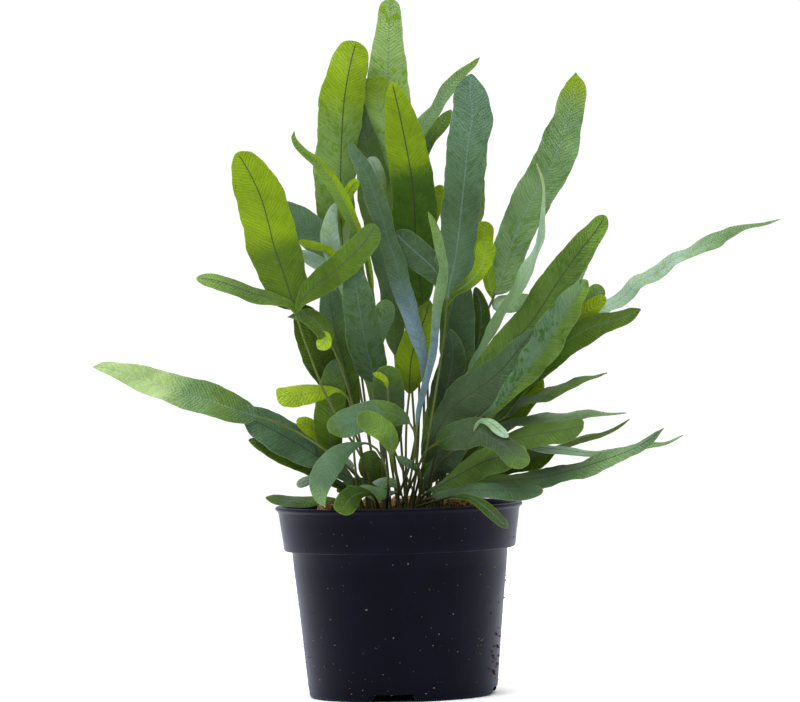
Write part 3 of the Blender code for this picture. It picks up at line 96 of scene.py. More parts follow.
def tall_fronds():
    """The upright fronds of the middle."""
    return [
        frond("frond_tall_back", 3, 10, 46,
              ((9, 120, 0), (7, 165, 0), (5, 195, 0), (3, 222, 8), (1.5, 250, 10), (0.4, 285, 10.4),
               (-0.1, 303, 9.8), (0.7, 318, 7.2), (1.5, 330, 5.8), (1.8, 337.8, 4.6)),
              turn=(8, 8), tip=(4, 2.2), foot=16,
              lobes=[lobe(((3.2, 218, 0), (2.6, 240, 2), (2.4, 258, 4.6), (-0.8, 273, 5.8), (-5.4, 288, 7),
                           (-6.6, 300.3, 6)), -7, tip=(3, 2.6))]),
        frond("frond_left_tall", 1, -8, 34,
              ((-13, 120, 0), (-19, 160, 0), (-23, 200, 0), (-24.6, 222, 10.5), (-25, 240, 12.4),
               (-24.6, 252, 12.9), (-23.6, 270, 12), (-21.7, 290, 11.9), (-19.4, 302, 10.4),
               (-17.2, 311, 8.6), (-15, 317.6, 6.4)),
              turn=(56, 4), fold=(30, 12), tip=(4, 2.2), foot=16,
              lobes=[lobe(((-24.7, 226, 0), (-22.8, 239, 2.2), (-19.8, 246, 3), (-15.8, 250.3, 2.6)), -13,
                          turn=(-20, -20), tip=(3, 2))]),
        frond("frond_dark_behind", 1.6, 4, 18,
              ((2, 120, 0), (0, 165, 0), (-1, 195, 6), (-3.5, 220, 9), (-7.5, 243, 9.2), (-10, 260, 7.2),
               (-11.8, 270, 5.8), (-13.6, 281, 3.8), (-14.4, 291, 1.8)),
              turn=(-12, -12), tip=(6, 1.5), foot=16,
              lobes=[lobe(((-3.5, 224, 0), (-4.8, 240, 2.5), (-5.5, 250, 3.2), (-7.5, 256, 3.6),
                           (-10, 261.3, 3)), -9, tip=(3, 2))]),
        frond("frond_centre_front", -2, 12, 2,
              ((13, 120, 0), (14, 160, 0), (14, 188, 0), (13, 200, 7), (12, 212, 9.5), (11.2, 225, 10.8),
               (11.2, 235, 11), (10.7, 246, 10.6), (9, 259, 10.1), (7.2, 270, 9.4), (5.4, 280, 7.9),
               (3.6, 289, 5.4), (1.7, 297.6, 2.8)), turn=(6, -4), fold=(-7, -4), tip=(5, 1.6), foot=12),
        frond("frond_pale_narrow", 0.8, 14, 26,
              ((15, 120, 0), (15.5, 170, 0), (15.5, 215, 0), (14.6, 245, 0), (14.2, 262, 3.5),
               (14.8, 272.5, 5), (18.2, 278.4, 4.4), (22.6, 283.4, 3.5), (25.2, 288, 3.5),
               (28, 292.6, 3.9), (32.2, 297.2, 3.2), (36.8, 301.6, 2.5), (41, 304.8, 1.8),
               (44.6, 308.4, 1)),
              turn=(-30, -26), fold=(-4, -4), tip=(4, 1.5),
              lobes=[lobe(((14.4, 250, 0), (16.5, 261, 2), (20, 270, 3), (24, 275, 3.5),
                           (27.8, 279.8, 2.8), (30.2, 283.4, 1.2)), -6),
                     lobe(((15.4, 214, 0), (19, 228, 2.5), (22, 238, 3.4), (24.3, 247, 3)), -4,
                          tip=(3.5, 2))]),
        frond("frond_blue_lobed", -6, 8, -22,
              ((14, 118, 0), (19, 145, 0), (21.8, 160, 0), (24.2, 175, 0), (26, 191, 0), (27.6, 200, 7.6),
               (30, 209, 10.3), (31.2, 216, 8.9), (32.3, 223, 9), (34, 236, 9.6), (35.8, 250, 9.8),
               (37.2, 261, 10), (38.6, 271, 10.2), (40.2, 278.5, 10.8), (40.2, 285, 8.9), (39.5, 291, 8.2),
               (40.2, 300.6, 4)),
              turn=(8, 10), fold=(5, 5), tip=(7, 1.7), wave=(1.5, 31),
              lobes=[lobe(((25.7, 188, 0), (29, 194, 1.8), (34, 197.2, 2.8), (40, 202.4, 3.6),
                           (43.7, 208.8, 4.6), (45, 214, 5), (45.8, 219.2, 4.6)), -15, turn=(-30, -10),
                          tip=(4, 2.2)),
                     lobe(((25.8, 190, 0), (24, 199, 4), (19.5, 206.5, 6.5), (12.5, 213.5, 7.3),
                           (6.5, 219, 6.7), (1.6, 224.5, 5.4)), -6, turn=(18, 10), tip=(5, 2))]),
        frond("frond_right_tall", -0.5, 16, 18,
              ((22, 120, 0), (32, 150, 0), (43, 180, 0), (49, 193, 0), (52, 200, 8.2), (55.4, 210, 8.3),
               (59.4, 220.5, 8.5), (64.2, 231, 9.2), (69.4, 241, 9.6), (75.5, 250.5, 9.6),
               (80.8, 260.5, 9.7), (84, 270, 8.9), (86.4, 277, 7.6), (88, 284, 6.7), (90.3, 291, 6.2),
               (91, 300, 2.4)),
              turn=(-12, 12), fold=(-8, -4), tip=(5, 1.3), foot=8, wave=(1.9, 22),
              lobes=[lobe(((48.2, 191, 0), (46, 203, 3), (44, 214, 4.8), (44.4, 222, 5),
                           (45.2, 228.8, 4.4)),
                          -4, tip=(4.5, 2.2)),
                     lobe(((47.6, 189.5, 0), (50, 188.8, 4.5), (58, 189, 5), (67, 190, 4)), -6,
                          turn=(-28, -28), foot=4)]),
        frond("frond_edge_on", -3.8, 18, -26,
              ((24, 125, 0), (36, 155, 0), (47, 175, 5), (53, 184, 7), (59, 193, 7.5), (64.5, 202, 7.5),
               (69, 210.5, 6.5), (72, 218.5, 5.5), (73.2, 227, 3.2), (74.3, 237, 2.2), (74, 247, 1.8),
               (71, 256.3, 1)), turn=(-66, -70), fold=(-6, -6), tip=(6, 1.2)),
        frond("frond_blue_strap", -7.2, 2, -30,
              ((6, 112, 0), (10.5, 132, 0), (13.3, 148, 0), (13.8, 160, 1.9), (12, 170, 3.3),
               (9.2, 180, 4.2), (6.5, 190, 4.7), (3.4, 200, 5.2), (1.5, 210, 5.4), (-1.8, 220, 4.4),
               (-4, 230, 5), (-7.3, 240, 5.2), (-10.5, 250, 4.7), (-15, 259.5, 3.7), (-18.5, 265.5, 2.3),
               (-20.5, 269, 1.1)),
              turn=(12, 12), fold=(10, 8), tip=(4, 1.3), wave=(0.8, 24)),
        frond("frond_narrow_twisted", -7.4, 7, -34,
              ((8.5, 105, 0), (9.5, 128, 0), (11, 138, 1.5), (13.5, 147, 2), (16.5, 158, 2),
               (19, 168, 2.2), (20, 178, 2.5), (21.5, 190, 2.9), (24, 200, 3.1), (24.8, 207, 2.9),
               (23.4, 214, 2.8), (21.8, 223, 2.6), (19.9, 229, 1.8), (17.8, 234, 1)),
              turn=(28, 34), tip=(4, 1.6)),
        frond("frond_hooked_left", -5.2, -3, -26,
              ((-4, 120, 0), (-7, 160, 0), (-10, 195, 0), (-13, 215, 1.9), (-17.3, 227, 3),
               (-21.2, 236, 3.6), (-25.7, 245.5, 4), (-30.7, 253.5, 3.8), (-36.2, 260.2, 2.7),
               (-41, 264, 2), (-45, 268.2, 1.8), (-46.6, 271.5, 1.3), (-46.3, 274.8, 0.8)),
              turn=(-22, -18), fold=(-20, -12), tip=(3, 1.3)),
    ]


def left_fronds():
    """The fronds that fan out to the left."""
    return [
        frond("frond_left_lobed", -7.5, -12, -48,
              ((-16, 112, 0), (-27, 132, 0), (-36.5, 152, 0), (-41, 165, 0), (-46, 180, 0),
               (-48.3, 188, 0), (-51.2, 199, 10.8), (-54.6, 210, 12.2), (-57.8, 220, 12.9),
               (-59.9, 230, 12.8), (-63.4, 243, 12), (-67.6, 253, 10.2), (-71.3, 260, 7.3),
               (-74.6, 265, 4)),
              turn=(8, 12), fold=(7, 7), tip=(5, 2), foot=9,
              lobes=[lobe(((-47.8, 186, 0), (-50.5, 191, 2.4), (-58, 193.4, 3.9), (-67, 195.8, 4.7),
                           (-77, 199.8, 5.1), (-87, 203.2, 4.7), (-95.6, 204.5, 3)), -5, turn=(36, 42),
                          tip=(5, 2)),
                     lobe(((-47.8, 186, 0), (-45.5, 191.5, 2.6), (-40.5, 197, 5.4), (-34.6, 201.6, 6.7),
                           (-25.6, 208.4, 7), (-17, 216.2, 6.9), (-11.6, 222.4, 6), (-8.2, 228.6, 3.8)), 3,
                          turn=(-12, -12), tip=(5, 2.2))]),
        frond("frond_curl_left", -6.9, -16, -40,
              ((-17, 115, 0), (-21, 140, 0), (-26, 158, 0), (-31, 171, 0), (-34.6, 178, 4.4),
               (-38.6, 182.8, 5), (-43.5, 185.2, 3.8), (-47.6, 185.2, 2), (-51.8, 184.6, 0.9)),
              turn=(10, 24), fold=(10, 16),
              tip=(4, 1.5), foot=5,
              lobes=[lobe(((-34.4, 177.6, 0), (-33.6, 174.4, 3), (-34.6, 171.4, 3.8),
                           (-37.2, 168.8, 2.8)), -4,
                          turn=(12, 12), tip=(3.5, 2), foot=4)]),
        frond("frond_yellow_left", -6.8, -18, -50,
              ((-21, 115, 0), (-21.5, 135, 0), (-24, 145.5, 0), (-29, 148.6, 1.6), (-36, 148, 4),
               (-44, 147, 5.3), (-51, 146.2, 5.8), (-58, 146.2, 4.8)), turn=(25, 25), tip=(3.2, 2.6)),
        frond("frond_vertical_left", -6, -20, -32,
              ((-22, 105, 0), (-28, 114, 0), (-32.3, 122, 6.5), (-32.6, 132, 7.6), (-31.6, 145, 7.3),
               (-30.2, 155, 5.6), (-28.8, 163.5, 3.1)), turn=(10, 4), tip=(5, 2.2),
              lobes=[lobe(((-28, 114, 0), (-33, 121, 2.5), (-38.5, 127.8, 3.9), (-43.3, 132, 4.2),
                           (-48.4, 134.9, 3)), 9, turn=(25, 25), tip=(3.5, 2))]),
        frond("frond_longest_left", -6.2, -14, -36,
              ((-20, 106, 0), (-35, 119.5, 0), (-50, 129.5, 0), (-60, 134.3, 0), (-67.5, 136.6, 0),
               (-74, 138.7, 6.6), (-80, 140.8, 8.7), (-90, 144.8, 9.2), (-100, 147.8, 8.9),
               (-110, 151.2, 8.7), (-120, 154.6, 7.7), (-130, 158.6, 5.9), (-140, 161.8, 3.6),
               (-146.9, 162.7, 1.5)),
              turn=(30, 30), fold=(-8, -8), tip=(5, 1.6), foot=7),
        frond("frond_slate_left", -5.5, -18, -40,
              ((-22, 103, 0), (-32, 112, 4), (-42, 118.8, 8), (-52, 125, 9.4), (-61, 130.4, 9.8),
               (-68.5, 134.2, 8), (-75.5, 137, 3.6)), turn=(25, 25), tip=(6, 1.6)),
        frond("frond_dark_left_low", -5, -20, -34,
              ((-24, 99, 0), (-34, 105.6, 2.8), (-44, 111.6, 4.5), (-54, 117, 4.9), (-64, 122, 4.4),
               (-72.2, 125.4, 2.1)), turn=(35, 35), tip=(5, 1.8),
              lobes=[lobe(((-27, 101, 0), (-34, 104.8, 1.2), (-40, 106, 1.6), (-45, 104.6, 2.4),
                           (-49.3, 102.6, 2)), -13, tip=(2.5, 2))]),
        frond("frond_drooping_left", -9, -6, -60,
              ((-5, 105, 0), (-7.4, 114.5, 0), (-10.6, 120, 0), (-15.2, 122.4, 0), (-19.5, 121.8, 2),
               (-23.6, 120.4, 3.2), (-28, 117.8, 5), (-32.8, 113, 6.5), (-36.4, 107, 6.6),
               (-38.2, 101.3, 5.1), (-37.8, 96.3, 3.1), (-35.8, 91.9, 1.1)),
              turn=(15, 12), tip=(4, 1.4), foot=8),
        frond("frond_over_rim_left", -8.2, -22, -20,
              ((-28, 94, 0), (-36, 95.4, 2.6), (-46, 95, 4), (-56, 95.6, 4.2), (-64.6, 97.2, 2)),
              turn=(45, 45), tip=(4, 1.8), bow=1.0),
        frond("frond_blue_left_back", 0.5, -10, 14,
              ((-13, 120, 0), (-17, 160, 0), (-20, 190, 0), (-25, 206, 6), (-32.5, 217.5, 7.6),
               (-39.5, 226, 8.2), (-46, 231.6, 7.6), (-52.5, 236, 5.8), (-58, 239, 3.2)),
              turn=(8, 8), tip=(6, 1.8)),
        frond("frond_pale_upright", -4.8, -5, -18,
              ((-8, 120, 0), (-13, 160, 0), (-19, 188, 0), (-24.8, 204, 3.8), (-29.4, 217, 4.8),
               (-30.2, 226, 4.3), (-28.9, 234, 2.9), (-27.1, 239.6, 1.4)), turn=(14, 14), tip=(4, 1.8),
              lobes=[lobe(((-20, 191, 0), (-26.5, 203, 1.6), (-33, 208.6, 3.2), (-39.4, 212.4, 3.4),
                           (-46.4, 217, 1.2)), -3),
                     lobe(((-19.5, 189.5, 0), (-24, 207, 1), (-30, 216, 1.8), (-36.5, 218.6, 2),
                           (-45.8, 221.2, 1.5)), -9)]),
        frond("frond_dark_left", -3.1, -14, -22,
              ((-17, 115, 0), (-23, 135, 0), (-30, 150, 6), (-35.5, 163, 8.4), (-40, 175, 8.4),
               (-43, 184, 6.6), (-46, 191, 3)), turn=(12, 12), tip=(5, 1.6),
              lobes=[lobe(((-22, 132, 0), (-22, 150, 4.5), (-25, 163, 6), (-28.5, 177, 6.8),
                           (-30.5, 190, 6.2), (-31.5, 199, 3.4)), -9, turn=(-14, -14))]),
        frond("frond_large_blue", -5.6, -6, -36,
              ((-7, 120, 0), (-9, 140, 0), (-10.3, 151.5, 0), (-12, 161, 8), (-14, 170, 9),
               (-15.7, 180, 8.6), (-17.3, 192, 7.6), (-18.5, 201, 6), (-19.5, 209, 3.4)),
              turn=(6, 6), fold=(6, 6), tip=(7, 1.6),
              foot=8,
              lobes=[lobe(((-9.8, 147, 0), (-8.6, 164, 1), (-7, 176, 3.4), (-5, 184, 5.3),
                           (-3.3, 191.9, 3.8)),
                          9, tip=(4, 2.2))]),
    ]


def right_fronds():
    """The fronds that fan out to the right."""
    return [
        frond("frond_right_strap", -5, 13, -34,
              ((18, 115, 0), (27, 133, 0), (38, 148, 7.6), (47.3, 158.8, 8.8), (57.5, 169.2, 9.5),
               (65.5, 177.7, 9.6), (72.5, 187.2, 9.5), (79.5, 197.5, 9.2), (86.5, 207, 8.5),
               (92.7, 215, 7), (99, 222.6, 5.6), (104, 230, 4)),
              turn=(-28, -24), fold=(-6, -6), tip=(5.5, 2)),
        frond("frond_slate_low", -5.8, 9, -42,
              ((13, 112, 0), (20, 128, 5), (30, 141, 10), (40, 147.5, 11.2), (50, 155, 9.4), (60, 166, 6),
               (70, 177.9, 2)), turn=(-20, -32), fold=(8, 8), tip=(8, 1.1)),
        frond("frond_wavy_right", -6.4, 14, -54,
              ((18, 108, 0), (28, 119, 0), (38, 128.5, 0), (47, 136.6, 2.4), (53, 143.6, 3.6),
               (59.2, 150.2, 5.6), (64.8, 157, 7), (70.6, 164, 8.4), (77, 174, 8.7), (81.8, 181.4, 8.2),
               (86.4, 188, 6.6), (91, 194.3, 4.8), (94.2, 199, 3)),
              turn=(-15, -25), fold=(-12, -8), tip=(4.5, 2.2), wave=(1.7, 18)),
        frond("frond_yellow_pair", -2.7, 19, -18,
              ((28, 118, 0), (45, 140, 0), (64, 158, 0), (78, 170, 3), (88, 179, 4), (96, 185.6, 4.1),
               (103, 190.6, 2.7)), turn=(-12, -12), tip=(4, 2),
              lobes=[lobe(((64, 158, 0), (78, 173.5, 2), (88, 183, 4), (95, 189.7, 4.9),
                           (101.6, 195.6, 4.2)),
                          -4, turn=(-16, -16), tip=(4, 2.2))]),
        frond("frond_far_right", -1.5, 20, -6,
              ((30, 112, 0), (50, 132, 0), (70, 152, 0), (88, 172, 3.4), (97, 181, 4.6), (103, 186, 4.8),
               (109, 188.8, 4.6), (113.6, 192, 4.1), (118.4, 197.2, 5.2), (124, 200, 4.5),
               (130.4, 203.2, 3.9), (137, 208.4, 4.6), (144.6, 211.4, 2.8), (150, 213.8, 4),
               (156, 216.4, 6), (161, 219.2, 3.6), (167, 221.4, 2.6), (173, 223.2, 1.6), (181, 224.2, 1),
               (188.8, 226.4, 0.7)),
              turn=(-42, -38), fold=(0, 0), tip=(6, 1.3), wave=(1.3, 20)),
        frond("frond_olive_right", -3.4, 17, -26,
              ((26, 112, 0), (45, 131, 0), (58, 147, 5.2), (70, 159.2, 7.6), (82, 168.3, 8.2),
               (92, 174.4, 7.6), (100, 177.6, 6.2), (106, 179, 5.3), (112, 180.8, 4.7),
               (119.9, 184.3, 2.4)), turn=(-30, -35), tip=(5, 1.5)),
        frond("frond_wavy_low", -3.2, 15, -30,
              ((24, 108, 0), (38, 124, 0), (48, 134, 5), (57, 139.5, 7), (66, 142.8, 7.2),
               (76, 145.6, 6.6), (84, 148.2, 5), (92, 151.2, 3.6), (98, 152.4, 2.1), (102.8, 153.8, 0.8)),
              turn=(-67, -65),
              tip=(4, 1.2), flutter=(5, 18),
              lobes=[lobe(((37, 123, 0), (48, 127.6, 5), (56, 131, 6.5), (66, 132.5, 7), (78, 132.9, 7),
                           (88, 134.2, 6.5), (95, 134.6, 4.5), (102, 133.8, 2), (111.6, 134.1, 0.9)), -9,
                          turn=(-68, -70), tip=(4, 1.3))]),
        frond("frond_olive_behind", -2.4, 19, -10,
              ((28, 110, 0), (40, 122, 4), (50, 131.5, 7), (60, 141, 7.6), (66, 147, 6.6),
               (71.3, 152.4, 3.4)),
              turn=(-22, -22), tip=(4, 1.8)),
        frond("frond_folded_front", -7.8, 6, -64,
              ((9, 108, 0), (14, 118, 0), (19, 121.4, 0), (23, 123.6, 6.5), (28, 125.4, 8.4),
               (35, 126.8, 8.6), (41, 126.2, 7.6), (47.4, 122.8, 5.8), (52.6, 119, 5.6), (57, 114.8, 6.8),
               (60.8, 108.6, 5.4)),
              turn=(-32, -20), fold=(7, 7), tip=(6, 2.3), foot=6,
              lobes=[lobe(((37, 126.8, 0), (40.4, 131.8, 1), (45.2, 131, 2.2), (49.6, 127.2, 2.7),
                           (54, 123.6, 1.6)), -9, turn=(-20, -20), tip=(3, 1.8), foot=3)]),
        frond("frond_rounded_right", -3.6, 16, -44,
              ((22, 104, 0), (36, 114, 0), (50, 121, 4.6), (60, 123.2, 6.8), (70, 124.8, 7.7),
               (80, 126.2, 7.7), (90.7, 128, 5.7)), turn=(-42, -42), tip=(6, 2.2),
              lobes=[lobe(((44, 118.6, 0), (60, 119.8, 3.5), (70, 118.2, 4.2), (80, 116.9, 4.2),
                           (92, 115.2, 4), (103, 114.9, 4), (113, 116.7, 4), (122, 118.6, 3.6),
                           (130, 118.8, 1.6), (139, 122.6, 0.8)), -11, turn=(-64, -64), tip=(5, 1.3))]),
        frond("frond_dark_olive", -1.8, 18, -22,
              ((24, 100, 0), (36, 106, 3), (48, 110, 6), (60, 112.6, 7.5), (69, 113.6, 6),
               (77, 115.8, 2.3)),
              turn=(-38, -38), tip=(4, 1.5),
              lobes=[lobe(((30, 103, 0), (46, 109.6, 1), (60, 113.6, 2), (72, 116.6, 2.8),
                           (82, 119.6, 3.5), (91, 122.3, 4), (100, 124.3, 3.6), (107, 127.2, 2),
                           (113.2, 131, 0.9)), 7,
                          turn=(-68, -68), tip=(4, 1.3))]),
        frond("frond_long_low_right", -6.6, 10, -50,
              ((16, 96, 0), (28, 99, 4), (42, 101.5, 6.5), (55, 102.7, 7.6), (67, 103.3, 8.1),
               (78, 105.2, 7.9), (88, 107.6, 7.6), (98, 110.6, 7.1), (108, 114, 6.3), (116, 117, 5),
               (123, 121, 3.3), (129.6, 126.2, 1.2)), turn=(-56, -56), tip=(5, 1.3)),
        frond("frond_dark_back", -1.6, 15, 4,
              ((18, 115, 0), (22, 132, 0), (24.5, 140, 5), (28, 152, 7), (31, 168, 7.6), (33, 184, 6.2),
               (34.5, 199, 3.6)), turn=(-10, -10), tip=(5, 1.8),
              lobes=[lobe(((21, 128, 0), (31, 148, 3), (38, 163, 4.3), (42, 178, 4.9), (42, 188, 3.7),
                           (39.8, 197, 1.6)), -7)]),
        frond("frond_teal_back", -2.5, 11, -8,
              ((11, 99, 0), (13, 104, 0), (14.8, 109, 4), (17.9, 123, 6.6), (21.4, 138, 7.6),
               (25.2, 150, 7.9), (27.8, 162, 6.8), (28, 169.5, 4.8), (27.2, 177, 2.2)),
              turn=(-15, -15), tip=(5, 1.5), foot=6),
    ]


def low_fronds():
    """The low, arching and drooping fronds in front of the crown."""
    return [
        frond("frond_olive_centre", -4.5, 4, -14,
              ((4, 115, 0), (5, 135, 0), (6.4, 146, 0), (7, 154, 6.6), (7.8, 162, 8.3), (9.8, 169.5, 8),
               (13, 177.6, 6.9), (15.6, 184.3, 5.4), (17.6, 191, 3)), turn=(-14, -14), tip=(6, 1.5)),
        frond("frond_slate_arch", -6.1, 0, -42,
              ((-1, 110, 0), (-2, 118, 0), (-2.8, 127, 5.5), (-3.4, 138, 7.5), (-3.6, 147, 7.6),
               (-4, 153.5, 7), (-4.5, 159.8, 5)), tip=(5, 2.2), turn=(6, 0)),
        frond("frond_young", -6.3, 2, -48,
              ((-2, 115, 0), (-4, 132, 0), (-4.2, 149, 0), (-5.2, 153, 1.3), (-8, 155.2, 1.6),
               (-11, 156.2, 1)),
              tip=(2, 1.6), foot=3, stalk=0.7),
        frond("frond_arch_left", -9.5, 3, -80,
              ((7, 110, 0), (8.8, 121, 0), (8.6, 127, 0), (6.2, 131.6, 0), (2.5, 134.4, 5), (-5, 137, 7),
               (-13, 136.6, 7.6), (-21, 133.8, 7.6), (-27.5, 131, 6.6), (-33.2, 129, 4.2)),
              turn=(22, 25), tip=(5.5, 2.2), foot=8),
        frond("frond_lime_front", -10, 0, -92,
              ((0, 102, 0), (-2, 111, 0), (-2.8, 116, 1.2), (-2.8, 121.4, 3.8), (-5, 127, 5.4),
               (-9.5, 130.6, 5.6), (-14, 133, 5.2), (-19.2, 134.5, 3.6)), turn=(10, 12), fold=(7, 7),
              tip=(4.5, 2.2), foot=5),
        frond("frond_over_rim_front", -9.2, -9, -73,
              ((-13, 97.5, 0), (-17, 98.5, 2.5), (-21, 97.6, 5), (-24.5, 94.8, 5.8), (-28.5, 88.6, 4.6)),
              turn=(6, 6), tip=(4, 2.2), bow=0.6, foot=5),
        frond("frond_pale_low", -8.5, 1, -46,
              ((3, 95, 0), (0, 98, 0), (-4, 98, 1.6), (-10, 98, 4), (-15.5, 99.2, 4), (-20.3, 99.4, 1.3)),
              turn=(32, 32), tip=(3, 1.4), foot=5,
              lobes=[lobe(((0, 98, 0), (-0.5, 101, 1.3), (-3.5, 103, 2.4), (-8, 102.8, 2.7),
                           (-12.6, 103.2, 1.1)), 5, foot=4)]),
        frond("frond_over_rim_right", -8.7, 5, -63,
              ((18, 93.4, 0), (27, 95.6, 0), (35, 94.6, 1.8), (41, 90.8, 2.8), (46.6, 85.6, 3),
               (52.8, 79.6, 2)), turn=(-14, -10), tip=(4, 1.7), bow=0.6, foot=5),
        frond("frond_low_right_front", -8.4, 7, -62,
              ((11, 93, 0), (16, 95, 0), (24, 97.2, 4.4), (35, 98.2, 5.9), (48, 97.8, 6.4),
               (60, 97.2, 6.4), (69.8, 96.2, 4.4)), turn=(-52, -52), tip=(6, 2.2), bow=1.1, foot=10),
        frond("frond_low_middle", -7, 8, -56,
              ((13, 97, 0), (19, 100.2, 2.5), (28, 104.8, 6), (36, 109, 8.6), (45, 112.8, 9.4),
               (54, 114, 9.1), (62, 113, 6)), turn=(-42, -42), tip=(7, 2)),
        frond("frond_dark_slate_low", -4.2, 11, -26,
              ((12, 99, 0), (15, 105, 4), (20, 111, 6), (27, 116.3, 6.6), (35, 121, 3.3)), turn=(-32, -32),
              tip=(5, 1.6)),
        frond("frond_small_blue", -7.6, 9, -30,
              ((10.5, 100, 0), (10.8, 107.5, 0), (8, 110.5, 1.7), (4, 112.9, 2.3), (-0.6, 115.9, 1.1)),
              turn=(18, 18), tip=(3, 1.4), foot=3, stalk=0.75),
        frond("frond_olive_low", -4.6, -4, -12,
              ((-5, 98, 0), (-8, 103.5, 3.5), (-12.5, 109, 6.4), (-13, 114, 5.6), (-11.5, 118.8, 3)),
              turn=(-10, -10), tip=(4, 1.8), foot=5,
              lobes=[lobe(((-5, 98, 0), (-9, 99.8, 2.2), (-16, 102, 4.4), (-24, 101.4, 4.2),
                           (-30, 99.4, 2)),
                          -10, turn=(28, 28), foot=4)]),
    ]


def back_fronds():
    """The fronds behind, which the front view hides."""
    return [
        frond("frond_back_left", 4, -4, 86,
              ((-6, 120, 0), (-12, 160, 0), (-18, 192, 7), (-24, 222, 10.5), (-27.5, 248, 10.5),
               (-28.5, 268, 7.4), (-28, 282, 3)), turn=(24, 30), tip=(6, 1.6), wave=(1.3, 30)),
        frond("frond_back_right", 4.2, 18, 82,
              ((22, 120, 0), (27, 160, 0), (31, 198, 8), (35, 230, 9.8), (37.5, 257, 8.6),
               (38.6, 274, 5.5), (39, 287, 2.5)), turn=(-26, -30), tip=(6, 1.6), wave=(1.3, 30)),
        frond("frond_back_low_left", 5, -12, 92,
              ((-22, 110, 0), (-34, 120.5, 5), (-46, 127, 8.4), (-58, 132, 8.4), (-68, 136, 6),
               (-76, 139.4, 3)),
              turn=(52, 52), tip=(5, 1.6)),
        frond("frond_back_low_right", 5.2, 18, 96,
              ((28, 120, 0), (44, 143, 6), (58, 160, 9), (71, 178, 9), (83, 196, 7.4), (93, 211, 4)),
              turn=(-30, -30), tip=(5, 1.6), wave=(1.3, 30)),
        frond("frond_back_centre", 5.4, 8, 104,
              ((2, 110, 0), (-5, 128, 0), (-9.5, 150, 5), (-13, 168, 7.2), (-14.5, 188, 6), (-15, 204, 3)),
              turn=(14, 14), tip=(5, 1.6)),
        frond("frond_back_tall", 4.6, 9, 66,
              ((10, 120, 0), (11.5, 165, 0), (10.8, 196, 7), (10.4, 226, 9.4), (8.6, 254, 8.6),
               (6.6, 274, 4)),
              turn=(-20, -14), tip=(5, 1.6)),
    ]


def eased(knots, values, at):
    """A smooth curve through the values: cubic pieces whose slope at a knot is the mean of its two chords."""
    knots = np.asarray(knots, float)
    values = np.asarray(values, float)
    chords = np.diff(values, axis=0) / np.diff(knots)[:, None]
    slopes = np.vstack([chords[:1], (chords[1:] + chords[:-1]) / 2, chords[-1:]])
    i = np.clip(np.searchsorted(knots, at, side="right") - 1, 0, len(knots) - 2)
    span = (knots[i + 1] - knots[i])[:, None]
    u = (at - knots[i])[:, None] / span
    return ((2 * u**3 - 3 * u**2 + 1) * values[i] + (u**3 - 2 * u**2 + u) * span * slopes[i]
            + (3 * u**2 - 2 * u**3) * values[i + 1] + (u**3 - u**2) * span * slopes[i + 1])


def step_up(x):
    """0 to 1 with level ends."""
    x = np.clip(x, 0.0, 1.0)
    return x * x * (3 - 2 * x)


def rounded_end(distance, reach, power):
    """How wide a blade is near its end, from 0 at the end to 1 at reach: power 1 is pointed, 2 is round."""
    near = np.clip(1 - distance / reach, 0.0, 1.0)
    return (1 - near**power) ** (1 / power)


def front_height(height, depth):
    """The front view's z of a true height at a depth."""
    return EYE_HEIGHT + (height - EYE_HEIGHT) / (1 + depth / EYE_DISTANCE)


